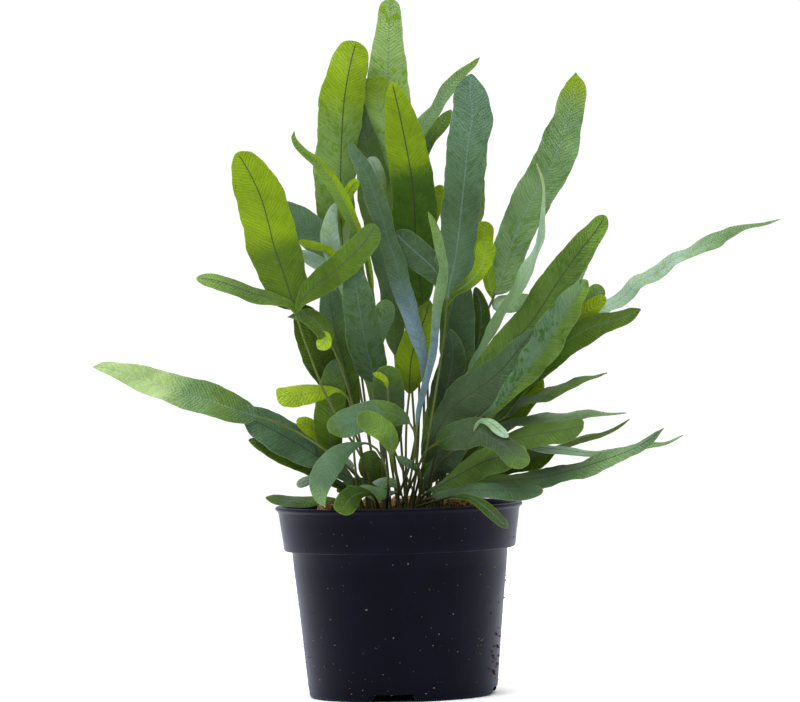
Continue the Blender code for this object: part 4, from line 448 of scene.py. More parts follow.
class Strip:
    """A stalk with its blade, or a lobe: one smooth midline with a width, a turn and a depth along it."""

    def __init__(self, row, start, start_depth, sunk):
        points = [(start[0], start[1], 0.0)] + list(row["path"][0 if sunk else 1:])
        if sunk:
            points.insert(0, (start[0], front_height(SOIL_TOP - HOLE_DEPTH + GAP, start_depth), 0.0))
            points.insert(2, (start[0], start[1] + 3.0, 0.0))
        self.row = row
        self.points = np.array(points, float)
        chords = np.hypot(*np.diff(self.points[:, :2], axis=0).T)
        self.knots = np.concatenate([[0.0], np.cumsum(chords)])
        self.length = self.knots[-1]
        first_wide = int(np.argmax(self.points[:, 2] > 0))
        self.blade = self.knots[max(first_wide - 1, 0)]
        self.base = self.knots[2] - 0.6 if sunk else 0.0
        self.depth = start_depth
        self.sunk = sunk
        self.at = self.stations()
        self.shift = np.zeros(len(self.at))

    def stations(self):
        """Where the rings stand: far apart on the stalk, and close enough on the blade for its waves."""
        waved = self.row["wave"][0] > 1.2
        pace = min(self.row["wave"][1] / 2.5, 12.0) if waved else BLADE_PACE
        blade = self.length - self.blade - self.row["tip"][0]
        count = max(3, math.ceil(blade / pace))
        on_blade = self.blade + blade * np.linspace(0, 1, count + 1)
        near_tip = self.length - self.row["tip"][0] * np.array(TIP_RINGS)
        foot = [self.blade + self.row["foot"] * 0.5] if self.row["foot"] * 0.5 < blade / count * 0.7 else []
        stalk = [0.0, self.base] if self.sunk else [0.0]
        for knot in self.knots[(self.knots > self.base + 5) & (self.knots < self.blade - 5)]:
            if knot > stalk[-1] + 5:
                stalk.append(knot)
        joints = np.array(stalk + [self.blade])
        for low, high in zip(joints[1 if self.sunk else 0:], joints[2 if self.sunk else 1:]):
            count = math.ceil((high - low) / STALK_PACE)
            stalk += list(low + (high - low) * np.arange(1, count) / count)
        return np.array(sorted(set(np.round(stalk + foot + list(on_blade) + list(near_tip), 3))))

    def midline(self, at):
        """Front-view x, depth and z of the midline, before it is eased clear of its neighbours."""
        xz = eased(self.knots, self.points[:, :2], at)
        run = np.clip((at - self.base) / (self.length - self.base), 0, 1)
        depth = self.depth + self.reach() * run ** self.row["bow"] * step_up((at - self.base) / EASE_IN)
        return np.column_stack([xz[:, 0], depth, xz[:, 1]])

    def reach(self):
        """How far the tip lies from the root in depth."""
        return self.row["lean"] - self.depth if self.sunk else self.row["lean"]

    def half_width(self, at, least=NARROWEST):
        """Half the blade's width: the table's widths, closed at the foot and at the tip."""
        widths = self.points[:, 2].copy()
        first = int(np.argmax(widths > 0))
        widths[:first] = widths[first]
        half = eased(self.knots, widths[:, None], at)[:, 0]
        half = half * rounded_end(self.length - at, *self.row["tip"])
        half = half * rounded_end(np.maximum(at - self.blade, 0), self.row["foot"], 1.5)
        half = np.where(at > self.blade + self.row["foot"] / 2, np.maximum(half, least), half)
        return np.where(at < self.blade, 0.0, half)

    def frames(self, at):
        """Midline with the blade's sideways and face directions, turned about the midline."""
        middle = self.midline(at)
        ahead = self.midline(at + 0.5) - self.midline(at - 0.5)
        ahead /= np.linalg.norm(ahead, axis=1)[:, None]
        across = np.cross(np.array([0.0, 1.0, 0.0]), ahead)
        across /= np.linalg.norm(across, axis=1)[:, None]
        face = np.cross(ahead, across)
        run = self.run(at)
        swing, period = self.row["flutter"]
        angle = np.radians(self.row["turn"][0] + (self.row["turn"][1] - self.row["turn"][0]) * run
                           + swing * np.sin(2 * math.pi * (at - self.blade) / period) * step_up(run * 4))
        angle = angle * step_up((at - self.blade) / 12 + 0.4)
        c, s = np.cos(angle)[:, None], np.sin(angle)[:, None]
        return middle, across * c + face * s, face * c - across * s

    def run(self, at):
        """How far along the blade each station lies, 0 at its foot and 1 at its tip."""
        return np.clip((at - self.blade) / (self.length - self.blade), 0, 1)

    def section(self, at, v, half):
        """The fold's angle, how far the waves have grown and how high they stand, for each v across."""
        run = self.run(at)[:, None]
        fold = np.radians(self.row["fold"][0] + (self.row["fold"][1] - self.row["fold"][0]) * run)
        height, period = self.row["wave"]
        phase = 2 * math.pi * at[:, None] / period + np.where(v < 0, LEFT_PHASE, 0.0)
        grow = step_up(run * 5) * step_up((1 - run) * 6) * np.clip(half / 6, 0, 1)
        return fold, grow, height * grow * np.abs(v) ** 1.5 * np.sin(phase)

    def stalk(self, at, half, share=1.0):
        """The stalk's radius, and how much of the section is blade: 0 on the stalk, 1 where it is wide."""
        radius = self.row["stalk"] * share * (1 - 0.2 * np.clip(at / self.length, 0, 1))[:, None]
        mix = np.maximum(step_up((half - radius * 0.6) / (radius * 2.2)), (self.run(at) > 0.5)[:, None])
        return radius, np.where((at < self.blade)[:, None], 0.0, mix)

    def surface(self, at, v):
        """Points half-way through the solid's blade at the stations, for each v across, -1 left to 1 right.

        The blade is a V of the fold's angle with waves that grow towards its edges; it eases into a round
        stalk where it is narrow. The result is (stations, across, 3) in the front view's own space.
        """
        half = self.half_width(at)[:, None]
        v = np.asarray(v, float)[None, :]
        fold, _, wave = self.section(at, v, half)
        radius, mix = self.stalk(at, half)
        sideways = v * half * np.cos(fold) * mix + radius * np.sin(STALK_WRAP * v) * (1 - mix)
        out = (np.abs(v) * half * np.sin(fold) + wave) * mix
        return laid_out(*self.frames(at), sideways, out)


def laid_out(middle, across, face, sideways, out):
    """Points at distances sideways and outwards from a midline, as (stations, across, 3)."""
    return middle[:, None] + sideways[..., None] * across[:, None] + out[..., None] * face[:, None]


def root_places(rows):
    """Where each stalk enters the soil: depth by its place in the order, and sideways clear of the others."""
    depth = np.linspace(-ROOT_DEPTH, ROOT_DEPTH, len(rows))
    x = np.array([float(row["root"]) for row in rows])
    for _ in range(ROOT_ROUNDS):
        for i in range(len(rows)):
            for j in range(i + 1, len(rows)):
                if abs(depth[i] - depth[j]) < ROOT_SPACING and abs(x[i] - x[j]) < ROOT_SPACING:
                    push = (ROOT_SPACING - abs(x[i] - x[j])) / 2 + 0.02
                    sign = 1.0 if x[i] >= x[j] else -1.0
                    x[i] += sign * push
                    x[j] -= sign * push
    return x, depth


def make_strips(rows):
    """For each frond its strips, the main one first, with each lobe started on the main one's midline."""
    x, depth = root_places(rows)
    fronds = []
    for row, root_x, root_depth in zip(rows, x, depth):
        main = Strip(row, (root_x, front_height(SOIL_TOP, root_depth)), root_depth, True)
        strips = [main]
        fine = np.linspace(main.base, main.length, 600)
        line = main.midline(fine)
        for part in row["lobes"]:
            first = part["path"][0]
            near = int(np.argmin(np.hypot(line[:, 0] - first[0], line[:, 2] - first[1])))
            strip = Strip(part, (line[near, 0], line[near, 2]), line[near, 1], False)
            strip.joint = fine[near]
            strips.append(strip)
        fronds.append(strips)
    return fronds


def across_ring(ring, w):
    """Points straight from a ring's midline out to its left edge at w = -1 and its right edge at w = 1."""
    return np.where(w < 0, ring[1] - (ring[0] - ring[1]) * w, ring[1] + (ring[2] - ring[1]) * w)


def clearing_samples(fronds):
    """Points all over the solids' blades, in groups between two stations.

    With each group go how far its points lie towards the second station, its frond's number, its strip, its
    first station and half its thickness.
    """
    samples = []
    for number, strips in enumerate(fronds):
        for strip in strips:
            ring = strip.surface(strip.at, (-1, 0, 1))
            wide = np.maximum(strip.half_width(strip.at), STALK_RADIUS + 0.3)
            for k in range(len(strip.at) - 1):
                steps = max(2, math.ceil((strip.at[k + 1] - strip.at[k]) / SAMPLE_STEP))
                sides = max(3, math.ceil(max(wide[k], wide[k + 1])))
                u = np.linspace(0, 1, steps + 1)[:, None, None]
                w = np.linspace(-1, 1, 2 * sides + 1)[None, :, None]
                low, high = across_ring(ring[k], w), across_ring(ring[k + 1], w)
                spot = low + (high - low) * u
                thin = max(wide[k], wide[k + 1]) < THIN_BLADE
                part = STALK_RADIUS if strip.at[k] < strip.blade or thin else BLADE_THICKNESS / 2
                flat = spot.reshape(-1, 3)
                share = np.broadcast_to(u, spot.shape[:2] + (1,)).reshape(-1)
                high_enough = flat[:, 2] > SOIL_TOP + CLEAR_ABOVE
                if high_enough.any():
                    samples.append((flat[high_enough], share[high_enough], number, strip, k, part))
    return samples


def bend_clear(fronds):
    """Ease the fronds apart in depth, nearer ones forward and farther ones back, until each cell is free.

    The front view is cut into small cells. In each cell the fronds keep their order, and where two come
    closer than the free gap the stations beside it take a share of what is missing, spread smoothly along
    the midline.
    """
    samples = clearing_samples(fronds)
    x = np.concatenate([s[0][:, 0] for s in samples])
    z = np.concatenate([s[0][:, 2] for s in samples])
    depth = np.concatenate([s[0][:, 1] for s in samples])
    share = np.concatenate([s[1] for s in samples])
    owner = np.concatenate([np.full(len(s[0]), s[2]) for s in samples])
    thick = np.concatenate([np.full(len(s[0]), s[5]) for s in samples])
    strips = [strip for group in fronds for strip in group]
    start = dict(zip(map(id, strips), np.cumsum([0] + [len(s.at) for s in strips[:-1]])))
    low = np.concatenate([np.full(len(s[0]), start[id(s[3])] + s[4]) for s in samples])
    columns = int((x.max() - x.min()) / CELL) + 2
    cell = (np.round((x - x.min()) / CELL) + columns * np.round((z - z.min()) / CELL)).astype(int)
    used, cell = np.unique(cell, return_inverse=True)
    shape = (len(fronds), len(used))
    key = owner * len(used) + cell
    order = np.argsort(key, kind="stable")
    starts = np.flatnonzero(np.r_[True, np.diff(key[order]) > 0])
    slots = key[order][starts]
    rooted = np.concatenate([step_up((s.midline(s.at)[:, 2] - SOIL_TOP - 2) / STALK_HELD) if s.sunk
                             else step_up(s.at / LOBE_HELD) for s in strips])
    spreads = [np.exp(-((s.at[:, None] - s.at[None, :]) / SPREAD) ** 2 / 2) for s in strips]
    spreads = [spread / spread.sum(axis=1, keepdims=True) for spread in spreads]
    shift = np.zeros(len(rooted))
    for turn in range(EASE_ROUNDS):
        y = depth + (1 - share) * shift[low] + share * shift[low + 1]
        nearest = np.full(shape, np.inf)
        farthest = np.full(shape, -np.inf)
        nearest.flat[slots] = np.minimum.reduceat((y - thick)[order], starts)
        farthest.flat[slots] = np.maximum.reduceat((y + thick)[order], starts)
        before = np.full(shape, -np.inf)
        before[1:] = np.maximum.accumulate(farthest, axis=0)[:-1]
        after = np.full(shape, np.inf)
        after[:-1] = np.minimum.accumulate(nearest[::-1], axis=0)[::-1][1:]
        back = np.clip(before + FREE_GAP - nearest, 0, MOST_MISSING).flat[key]
        fore = np.clip(farthest + FREE_GAP - after, 0, MOST_MISSING).flat[key]
        most_back = np.zeros(len(shift))
        most_fore = np.zeros(len(shift))
        for side in (low, low + 1):
            np.maximum.at(most_back, side, back)
            np.maximum.at(most_fore, side, fore)
        move = 0.5 * (most_back - most_fore)
        if max(most_back.max(), most_fore.max()) < EASE_ENOUGH:
            break
        for strip, spread in zip(strips, spreads):
            first = start[id(strip)]
            part = slice(first, first + len(strip.at))
            shift[part] += MOVE_SHARE * rooted[part] * (spread @ move[part])
        if turn < EASE_ROUNDS * 0.8:
            shift *= SPRING
        for group in fronds:
            for part in group[1:]:
                main = group[0]
                first = start[id(main)]
                at_joint = np.interp(part.joint, main.at, shift[first:first + len(main.at)])
                begin = start[id(part)]
                own = shift[begin:begin + len(part.at)]
                follow = 1.0 if turn == 0 else 1.0 - step_up(part.at / part.length) * 0.5
                own += (at_joint - own[0]) * follow
    for strip in strips:
        first = start[id(strip)]
        strip.shift = shift[first:first + len(strip.at)].copy()


def true_place(points):
    """Front-view points moved to their true place: farther ones out from the eye's line, nearer ones in."""
    points = np.asarray(points, float).copy()
    scale = 1 + points[..., 1] / EYE_DISTANCE
    points[..., 0] *= scale
    points[..., 2] = EYE_HEIGHT + (points[..., 2] - EYE_HEIGHT) * scale
    return points * MM


# Looks. The tones are sRGB hex values: the wax-covered upper side runs from navy to lilac, and the bare
# yellow-green side, with the dark rib, from dark to lemon. The darkest, dark and moss, are partly the leaves'
# own deep green and partly painted shade, where the low and inner fronds lie in shadow.
TONES = {
    "navy": "#394E30",
    "slate": "#466040",
    "blue": "#547354",
    "pale": "#719260",
    "frost": "#94B098",
    "steel": "#5F7F66",
    "sage": "#91B268",
    "mist": "#A5BE82",
    "lilac": "#667F8C",
    # dark and moss are partly painted shade of the low and inner fronds, over the leaves' own deep green.
    "dark": "#2F4A00",
    "moss": "#3E6006",
    "olive": "#486308",
    "green": "#526F28",
    "grass": "#52700C",
    "fresh": "#6C8E34",
    "spring": "#7B9D50",
    "yellow": "#7F9D00",
    "lime": "#8CA800",
    "lemon": "#A0BB2C",
}
BARE_TONES = ("dark", "moss", "olive", "green", "grass", "fresh", "spring", "yellow", "lime", "lemon")
# The tone of a leaf's other side.
OTHER_SIDE = {
    "navy": "olive", "slate": "green", "blue": "green", "pale": "fresh", "frost": "fresh", "steel": "green",
    "sage": "fresh", "mist": "fresh", "lilac": "green", "dark": "slate", "moss": "slate", "olive": "slate",
    "green": "blue", "grass": "blue", "fresh": "pale", "spring": "pale", "yellow": "blue", "lime": "pale",
    "lemon": "pale",
}
STALK_TONE = "#545B28"
STALK_FOOT_TONE = "#3B2F18"
RIB_PALE = "#8299A0"
RIB_DARK = "#34352A"
RUB_TONE = "#2C4E06"
EDGE_TONE = "#8DA04E"

# Fine leaf sizes, in millimetres or as shares of the blade's half width.
FINE_BLADE = 0.46
RIB_RISE = 0.32
RIB_GROOVE = 0.16
RIB_HALF = 0.5
FINE_STALK = 0.66
STALK_STEP = 4.0
BLADE_STEP = 1.7
TIP_ROWS = 10
ACROSS = 17
FINE_TIP = 0.14
KEEL = 0.1
RAGGED = 0.022
FRILL = 0.22
FOOT_TONE_REACH = 60
PATTERN_STEP = 3.7


def look(stops, rib=0.5, rub=0.3, right=None, lobes=()):
    """How one frond looks: its tones from foot to tip, the rib from -1 pale to 1 dark, and the rubbing.

    The tones are those of the side towards the front, lobes gives each lobe's own, and right gives other ones
    for the blade's right half.
    """
    return dict(stops=stops.split(), rib=rib, rub=rub, right=right.split() if right else None,
                lobes=[part.split() for part in lobes])


LOOKS = {
    "frond_tall_back": look("pale sage sage sage", 0.0, 1.0, lobes=("pale sage sage yellow",)),
    "frond_left_tall": look("green spring spring spring yellow lime", 1.0, 0.8, lobes=("yellow lime",)),
    "frond_dark_behind": look("green slate green slate", 0.2, 0.3, lobes=("olive fresh frost",)),
    # Its six moss stops are a painted shadow cast over the lower part of the blade; the yellow and lime above
    # are its own colour.
    "frond_centre_front": look("moss moss moss moss moss moss yellow yellow yellow lime", 1.0, 0.5),
    "frond_pale_narrow": look("blue pale pale fresh", -0.2, 0.2, lobes=("olive green fresh", "yellow lime")),
    "frond_blue_lobed": look("blue blue slate blue steel steel", -1.0, 0.5,
                             lobes=("olive olive yellow yellow", "slate slate slate")),
    "frond_right_tall": look("pale pale pale pale pale lime", -1.0, 0.6, lobes=("yellow lime", "frost pale")),
    "frond_edge_on": look("blue pale frost mist", 0.0, 0.1),
    "frond_blue_strap": look("lilac lilac slate slate blue", 0.1, 0.3),
    "frond_narrow_twisted": look("lilac lilac lilac pale pale fresh", 0.0, 0.4),
    "frond_hooked_left": look("green green fresh fresh fresh", 0.2, 0.2, right="yellow yellow yellow fresh"),
    "frond_left_lobed": look("olive grass grass yellow yellow yellow lime", 0.8, 0.4,
                             lobes=("grass green spring", "grass olive grass green")),
    "frond_curl_left": look("olive olive green pale", 0.2, 0.2, lobes=("lime lemon",)),
    "frond_yellow_left": look("yellow lime lemon lemon", 0.0, 0.1),
    "frond_vertical_left": look("dark olive grass green slate", 0.3, 0.3, lobes=("yellow lime",)),
    "frond_longest_left": look("blue green pale mist mist mist", -0.5, 0.3),
    "frond_slate_left": look("slate blue blue", 0.7, 0.3),
    "frond_dark_left_low": look("dark olive green", 0.5, 0.3, lobes=("pale frost",)),
    "frond_drooping_left": look("slate blue blue pale", 0.2, 0.2),
    "frond_over_rim_left": look("olive green slate green", 0.2, 0.7),
    "frond_blue_left_back": look("slate blue blue blue", 0.2, 0.2),
    "frond_pale_upright": look("pale frost frost", -0.3, 0.4, lobes=("frost frost", "yellow lime")),
    "frond_dark_left": look("dark dark olive dark", 0.8, 0.2, lobes=("olive green blue",)),
    "frond_large_blue": look("slate slate slate blue", 0.1, 0.8, lobes=("green blue pale",)),
    "frond_right_strap": look("slate green green green fresh", 0.8, 0.65),
    "frond_slate_low": look("navy navy navy slate slate", 0.9, 0.4),
    "frond_wavy_right": look("slate blue blue blue pale", 0.3, 1.0, right="olive green green green fresh"),
    "frond_yellow_pair": look("yellow lime lime", 0.0, 0.1, lobes=("green fresh spring",)),
    "frond_far_right": look("pale frost frost frost pale pale", 0.0, 0.4),
    "frond_olive_right": look("dark dark moss olive olive", 0.2, 0.1),
    "frond_wavy_low": look("green slate green green", 0.1, 0.1, lobes=("blue pale pale pale",)),
    "frond_olive_behind": look("olive olive yellow", 0.6, 0.1),
    "frond_folded_front": look("dark navy navy navy green", 0.5, 0.2, lobes=("pale frost",)),
    "frond_rounded_right": look("olive green green green", 0.6, 0.1, lobes=("pale frost pale pale",)),
    "frond_dark_olive": look("dark dark olive", 0.6, 0.1, lobes=("dark olive olive",)),
    "frond_long_low_right": look("green green slate pale blue", 0.8, 0.2),
    "frond_dark_back": look("green green slate slate", 0.4, 0.1, lobes=("dark dark dark",)),
    "frond_teal_back": look("moss moss navy slate", 0.2, 0.3),
    "frond_olive_centre": look("olive yellow yellow olive", 0.9, 0.1),
    "frond_slate_arch": look("navy navy green", 0.2, 0.2),
    "frond_young": look("yellow lime lime", 0.0, 0.0),
    "frond_arch_left": look("slate green blue blue green", 0.1, 0.4),
    "frond_lime_front": look("green green fresh green", 0.1, 0.2),
    "frond_over_rim_front": look("dark dark olive", 0.3, 0.2),
    "frond_pale_low": look("blue pale pale", 0.0, 0.1, lobes=("pale pale frost",)),
    "frond_over_rim_right": look("dark dark navy", 0.3, 0.1),
    "frond_low_right_front": look("slate slate blue slate slate", 0.6, 0.1),
    "frond_low_middle": look("slate green green green", 0.9, 0.2),
    "frond_dark_slate_low": look("navy navy slate", 0.6, 0.1),
    "frond_small_blue": look("slate blue pale", 0.0, 0.1),
    "frond_olive_low": look("dark olive green", 0.4, 0.1, lobes=("dark dark olive",)),
    "frond_back_left": look("olive green green yellow", 0.8, 0.2),
    "frond_back_right": look("olive green green fresh", 0.8, 0.2),
    "frond_back_low_left": look("slate blue blue", 0.2, 0.2),
    "frond_back_low_right": look("slate blue blue pale", 0.2, 0.3),
    "frond_back_centre": look("olive green fresh", 0.6, 0.1),
    "frond_back_tall": look("green green fresh", 0.7, 0.2),
}


def linear(hex_value):
    """An sRGB hex colour as linear red, green and blue."""
    channels = np.array([int(hex_value[i:i + 2], 16) for i in (1, 3, 5)]) / 255
    return np.where(channels <= 0.04045, channels / 12.92, ((channels + 0.055) / 1.055) ** 2.4)


def paint(hex_value):
    """The same with an alpha of 1, for a shader's colour socket."""
    return (*linear(hex_value), 1.0)


def feed(tree, node, inputs):
    """Give a node's sockets, by their order or by name, a value or another node's output."""
    for socket, value in inputs.items() if isinstance(inputs, dict) else enumerate(inputs):
        if isinstance(value, bpy.types.NodeSocket):
            tree.links.new(value, node.inputs[socket])
        else:
            node.inputs[socket].default_value = value


def add(tree, kind, inputs=(), out=0, **settings):
    """Add one node with its settings and links, and return one of its outputs."""
    node = tree.nodes.new("ShaderNode" + kind)
    for name, value in settings.items():
        setattr(node, name, value)
    feed(tree, node, inputs)
    return node.outputs[out]


# Settings that many nodes share: a range with smooth ends, products and sums, and two colours laid over.
SMOOTH = {"interpolation_type": "SMOOTHSTEP"}
TIMES = {"operation": "MULTIPLY"}
TIMES_PLUS = {"operation": "MULTIPLY_ADD"}
BLEND = {"data_type": "RGBA"}
TINT = {"data_type": "RGBA", "blend_type": "MULTIPLY"}


def new_finish(name):
    """An empty material with its tree and its main shader."""
    material = bpy.data.materials.new(name)
    material.use_nodes = True
    tree = material.node_tree
    return material, tree, tree.nodes["Principled BSDF"]


def waxy_leaf():
    """Fern leaf: a soft skin under a thin wax bloom, with oblique side veins, a fine net and rubbed patches.

    The vertex attribute leaf holds millimetres across and along the blade and in from its margin. The
    attribute habit holds the rib's tone, the rubbing and how much of the place is blade, and the attribute
    tone is the leaf's own colour there. A range that ends at another range's result is their product.
    """
    material, tree, shader = new_finish("waxy_leaf")
    place = add(tree, "Attribute", out="Vector", attribute_name="leaf")
    habit = add(tree, "Attribute", out="Vector", attribute_name="habit")
    tone = add(tree, "Attribute", out="Color", attribute_name="tone")
    across, along, margin = add(tree, "SeparateXYZ", (place,)).node.outputs
    rib_tone, rubbed, blade = add(tree, "SeparateXYZ", (habit,)).node.outputs
    _, green, blue = add(tree, "SeparateColor", (tone,)).node.outputs
    # The frostiest leaves, the only ones with much blue, show their veins less.
    strength = add(tree, "MapRange", (blue, 0.16, 0.24, 1.0, 0.35), **SMOOTH)
    shown = add(tree, "Math", (blade, strength), **TIMES)
    # 11 mm swells bend the veins, 3 mm mottles are the uneven wax, and its grains are under 1 mm.
    where = add(tree, "TexCoord", out="Object")
    swell = add(tree, "TexNoise", {"Vector": where, "Scale": 90.0, "Detail": 2.0})
    mottle = add(tree, "TexNoise", {"Vector": where, "Scale": 300.0, "Detail": 5.0, "Roughness": 0.65})
    grain = add(tree, "TexNoise", {"Vector": where, "Scale": 1300.0, "Detail": 3.0, "Roughness": 0.7})
    out = add(tree, "Math", (across,), operation="ABSOLUTE")
    oblique = add(tree, "Math", (out, -0.75, along), **TIMES_PLUS)
    oblique = add(tree, "Math", (swell, 4.0, oblique), **TIMES_PLUS)
    # Side veins leave the rib about every 1.7 mm, and the net between them has 1.2 mm cells.
    vein = add(tree, "Math", (oblique, 0.85), operation="PINGPONG")
    vein = add(tree, "MapRange", (vein, 0.0, 0.34, shown, 0.0), **SMOOTH)
    sheet = add(tree, "CombineXYZ", (out, oblique))
    net = add(tree, "TexVoronoi", {"Vector": sheet, "Scale": 0.85}, feature="DISTANCE_TO_EDGE")
    net = add(tree, "MapRange", (net, 0.0, 0.14, shown, 0.0), **SMOOTH)
    narrow = add(tree, "Math", (out, 0.22), **TIMES)
    drawn_out = add(tree, "Math", (oblique, 1.5), **TIMES)
    streak = add(tree, "CombineXYZ", (narrow, drawn_out, swell))
    streak = add(tree, "TexNoise", {"Vector": streak, "Scale": 1.0, "Detail": 3.0})
    # The rib fades towards the tip, and the margin is pale for half a millimetre.
    rib = add(tree, "MapRange", (margin, 0.8, 3.0, 0.0, blade), **SMOOTH)
    rib = add(tree, "MapRange", (out, 0.14, 0.46, rib, 0.0), **SMOOTH)
    edge = add(tree, "MapRange", (margin, 0.12, 0.55, blade, 0.0), **SMOOTH)
    # Wax is rubbed off in 3 mm flakes, in zones of about 24 mm.
    zone = add(tree, "TexNoise", {"Vector": where, "Scale": 42.0, "Detail": 1.0})
    half_out = add(tree, "Math", (out, 0.5), **TIMES)
    flake = add(tree, "CombineXYZ", (half_out, oblique, across))
    flake = add(tree, "TexNoise", {"Vector": flake, "Scale": 0.34, "Detail": 4.0, "Roughness": 0.6})
    rub = add(tree, "Math", (rubbed, blade), **TIMES)
    rub = add(tree, "MapRange", (zone, 0.43, 0.48, 0.0, rub), **SMOOTH)
    rub = add(tree, "MapRange", (flake, 0.54, 0.565, 0.0, rub), **SMOOTH)
    # Each layer's pattern, the ends of its range, its most share and the colour that tints the leaf's own.
    layers = (
        (streak, 0.38, 0.66, 0.52, (0.58, 0.66, 0.50, 1.0), 1.0, TINT),
        (grain, 0.45, 0.7, 0.28, (1.45, 1.36, 1.45, 1.0), 1.0, TINT),
        (mottle, 0.45, 0.75, 0.22, (0.62, 0.74, 0.58, 1.0), 0.14, BLEND),
    )
    colour = tone
    for pattern, low, high, most, tint, amount, way in layers:
        share = add(tree, "MapRange", (pattern, low, high, 0.0, most), **SMOOTH)
        layer = add(tree, "Mix", {0: amount, 6: tone, 7: tint}, 2, **way)
        colour = add(tree, "Mix", {0: share, 6: colour, 7: layer}, 2, **BLEND)
    for lines, most, tint in ((vein, 0.42, (0.50, 0.58, 0.45, 1.0)), (net, 0.12, (0.55, 0.62, 0.5, 1.0))):
        share = add(tree, "Math", (lines, most), **TIMES)
        layer = add(tree, "Mix", {0: 1.0, 6: tone, 7: tint}, 2, **TINT)
        colour = add(tree, "Mix", {0: share, 6: colour, 7: layer}, 2, **BLEND)
    # Rubbed marks follow the leaf's own lightness: a dull green on dark leaves, a darker yellow on pale ones.
    dull = add(tree, "Mix", {0: 1.0, 6: tone, 7: (0.55, 0.80, 0.20, 1.0)}, 2, **TINT)
    dull = add(tree, "Mix", {0: 0.6, 6: dull, 7: paint(RUB_TONE)}, 2, **BLEND)
    bright = add(tree, "Mix", {0: 1.0, 6: tone, 7: (0.60, 0.76, 0.04, 1.0)}, 2, **TINT)
    light = add(tree, "MapRange", (green, 0.2, 0.36), **SMOOTH)
    bare = add(tree, "Mix", {0: light, 6: dull, 7: bright}, 2, **BLEND)
    share = add(tree, "Math", (rub, 0.95), **TIMES)
    colour = add(tree, "Mix", {0: share, 6: colour, 7: bare}, 2, **BLEND)
    shade = add(tree, "MapRange", (rib_tone, -1.0, 1.0), **SMOOTH)
    rib_colour = add(tree, "Mix", {0: shade, 6: paint(RIB_PALE), 7: paint(RIB_DARK)}, 2, **BLEND)
    share = add(tree, "MapRange", (rib_tone, -0.2, 1.0, 0.3, 0.9), **SMOOTH)
    share = add(tree, "Math", (rib, share), **TIMES)
    colour = add(tree, "Mix", {0: share, 6: colour, 7: rib_colour}, 2, **BLEND)
    share = add(tree, "Math", (edge, 0.2), **TIMES)
    colour = add(tree, "Mix", {0: share, 6: colour, 7: paint(EDGE_TONE)}, 2, **BLEND)
    rough = add(tree, "Math", (rub, -0.18, 0.56), **TIMES_PLUS)
    rough = add(tree, "Math", (mottle, 0.08, rough), **TIMES_PLUS)
    height = add(tree, "Math", (streak, 0.35), **TIMES)
    height = add(tree, "Math", (vein, -0.5, height), **TIMES_PLUS)
    height = add(tree, "Math", (net, -0.2, height), **TIMES_PLUS)
    relief = add(tree, "Math", (strength, 0.7), **TIMES)
    bump = add(tree, "Bump", {"Height": height, "Strength": relief, "Distance": 0.0006})
    feed(tree, shader, {"Base Color": colour, "Roughness": rough, "Normal": bump, "IOR": 1.42,
                        "Specular IOR Level": 0.25, "Subsurface Weight": 0.06,
                        "Subsurface Radius": (1.0, 1.0, 0.4), "Subsurface Scale": 0.0012})
    return material


def ripple(at, seed, periods=(17.0, 7.3, 3.9), sizes=(1.0, 0.5, 0.25)):
    """A smooth irregular wave: sines of a few periods with phases that the seed draws."""
    phases = np.random.default_rng(seed).uniform(0, 2 * math.pi, len(periods))
    return sum(size * np.sin(2 * math.pi * at / period + phase)
               for period, size, phase in zip(periods, sizes, phases))


def two_ripples(at, v, seed):
    """A ripple of its own for the left half of the blade and for the right one."""
    return np.where(v < 0, ripple(at, seed)[:, None], ripple(at, seed + 1)[:, None])


def fine_rows(strip):
    """Rows along the midline: wide apart on the stalk, close on the blade and closer still at the tip."""
    tip = strip.row["tip"][0]
    stalk = np.arange(0.0, strip.blade, STALK_STEP)
    blade = np.linspace(strip.blade, strip.length - tip,
                        max(8, math.ceil((strip.length - tip - strip.blade) / BLADE_STEP)), endpoint=False)
    end = strip.length - tip * np.linspace(1, 0, TIP_ROWS) ** 2
    return np.concatenate([stalk, blade, end])


def tones_along(stops, run):
    """The tones of the stops, evenly spaced from foot to tip, blended smoothly along the blade."""
    palette = np.array([linear(TONES[stop]) for stop in stops])
    if len(stops) == 1:
        return np.repeat(palette, len(run), axis=0)
    at = np.clip(run, 0, 1) * (len(stops) - 1)
    low = np.minimum(at.astype(int), len(stops) - 2)
    share = step_up(at - low)[:, None]
    return palette[low] * (1 - share) + palette[low + 1] * share


def leaf_tones(stops, right, run, v, seed):
    """Colours on one face: stops along the blade, other ones on the right half, and faint clouds over all."""
    left = tones_along(stops, run)[:, None, :]
    other = tones_along(right or stops, run)[:, None, :]
    half = step_up(v / 0.12 * 0.5 + 0.5)[None, :, None]
    colours = left * (1 - half) + other * half
    cloud = ripple(run[:, None] * 90 + v[None, :] * 9, seed, (31.0, 13.0), (0.06, 0.04))
    return colours * (1 + cloud[..., None])


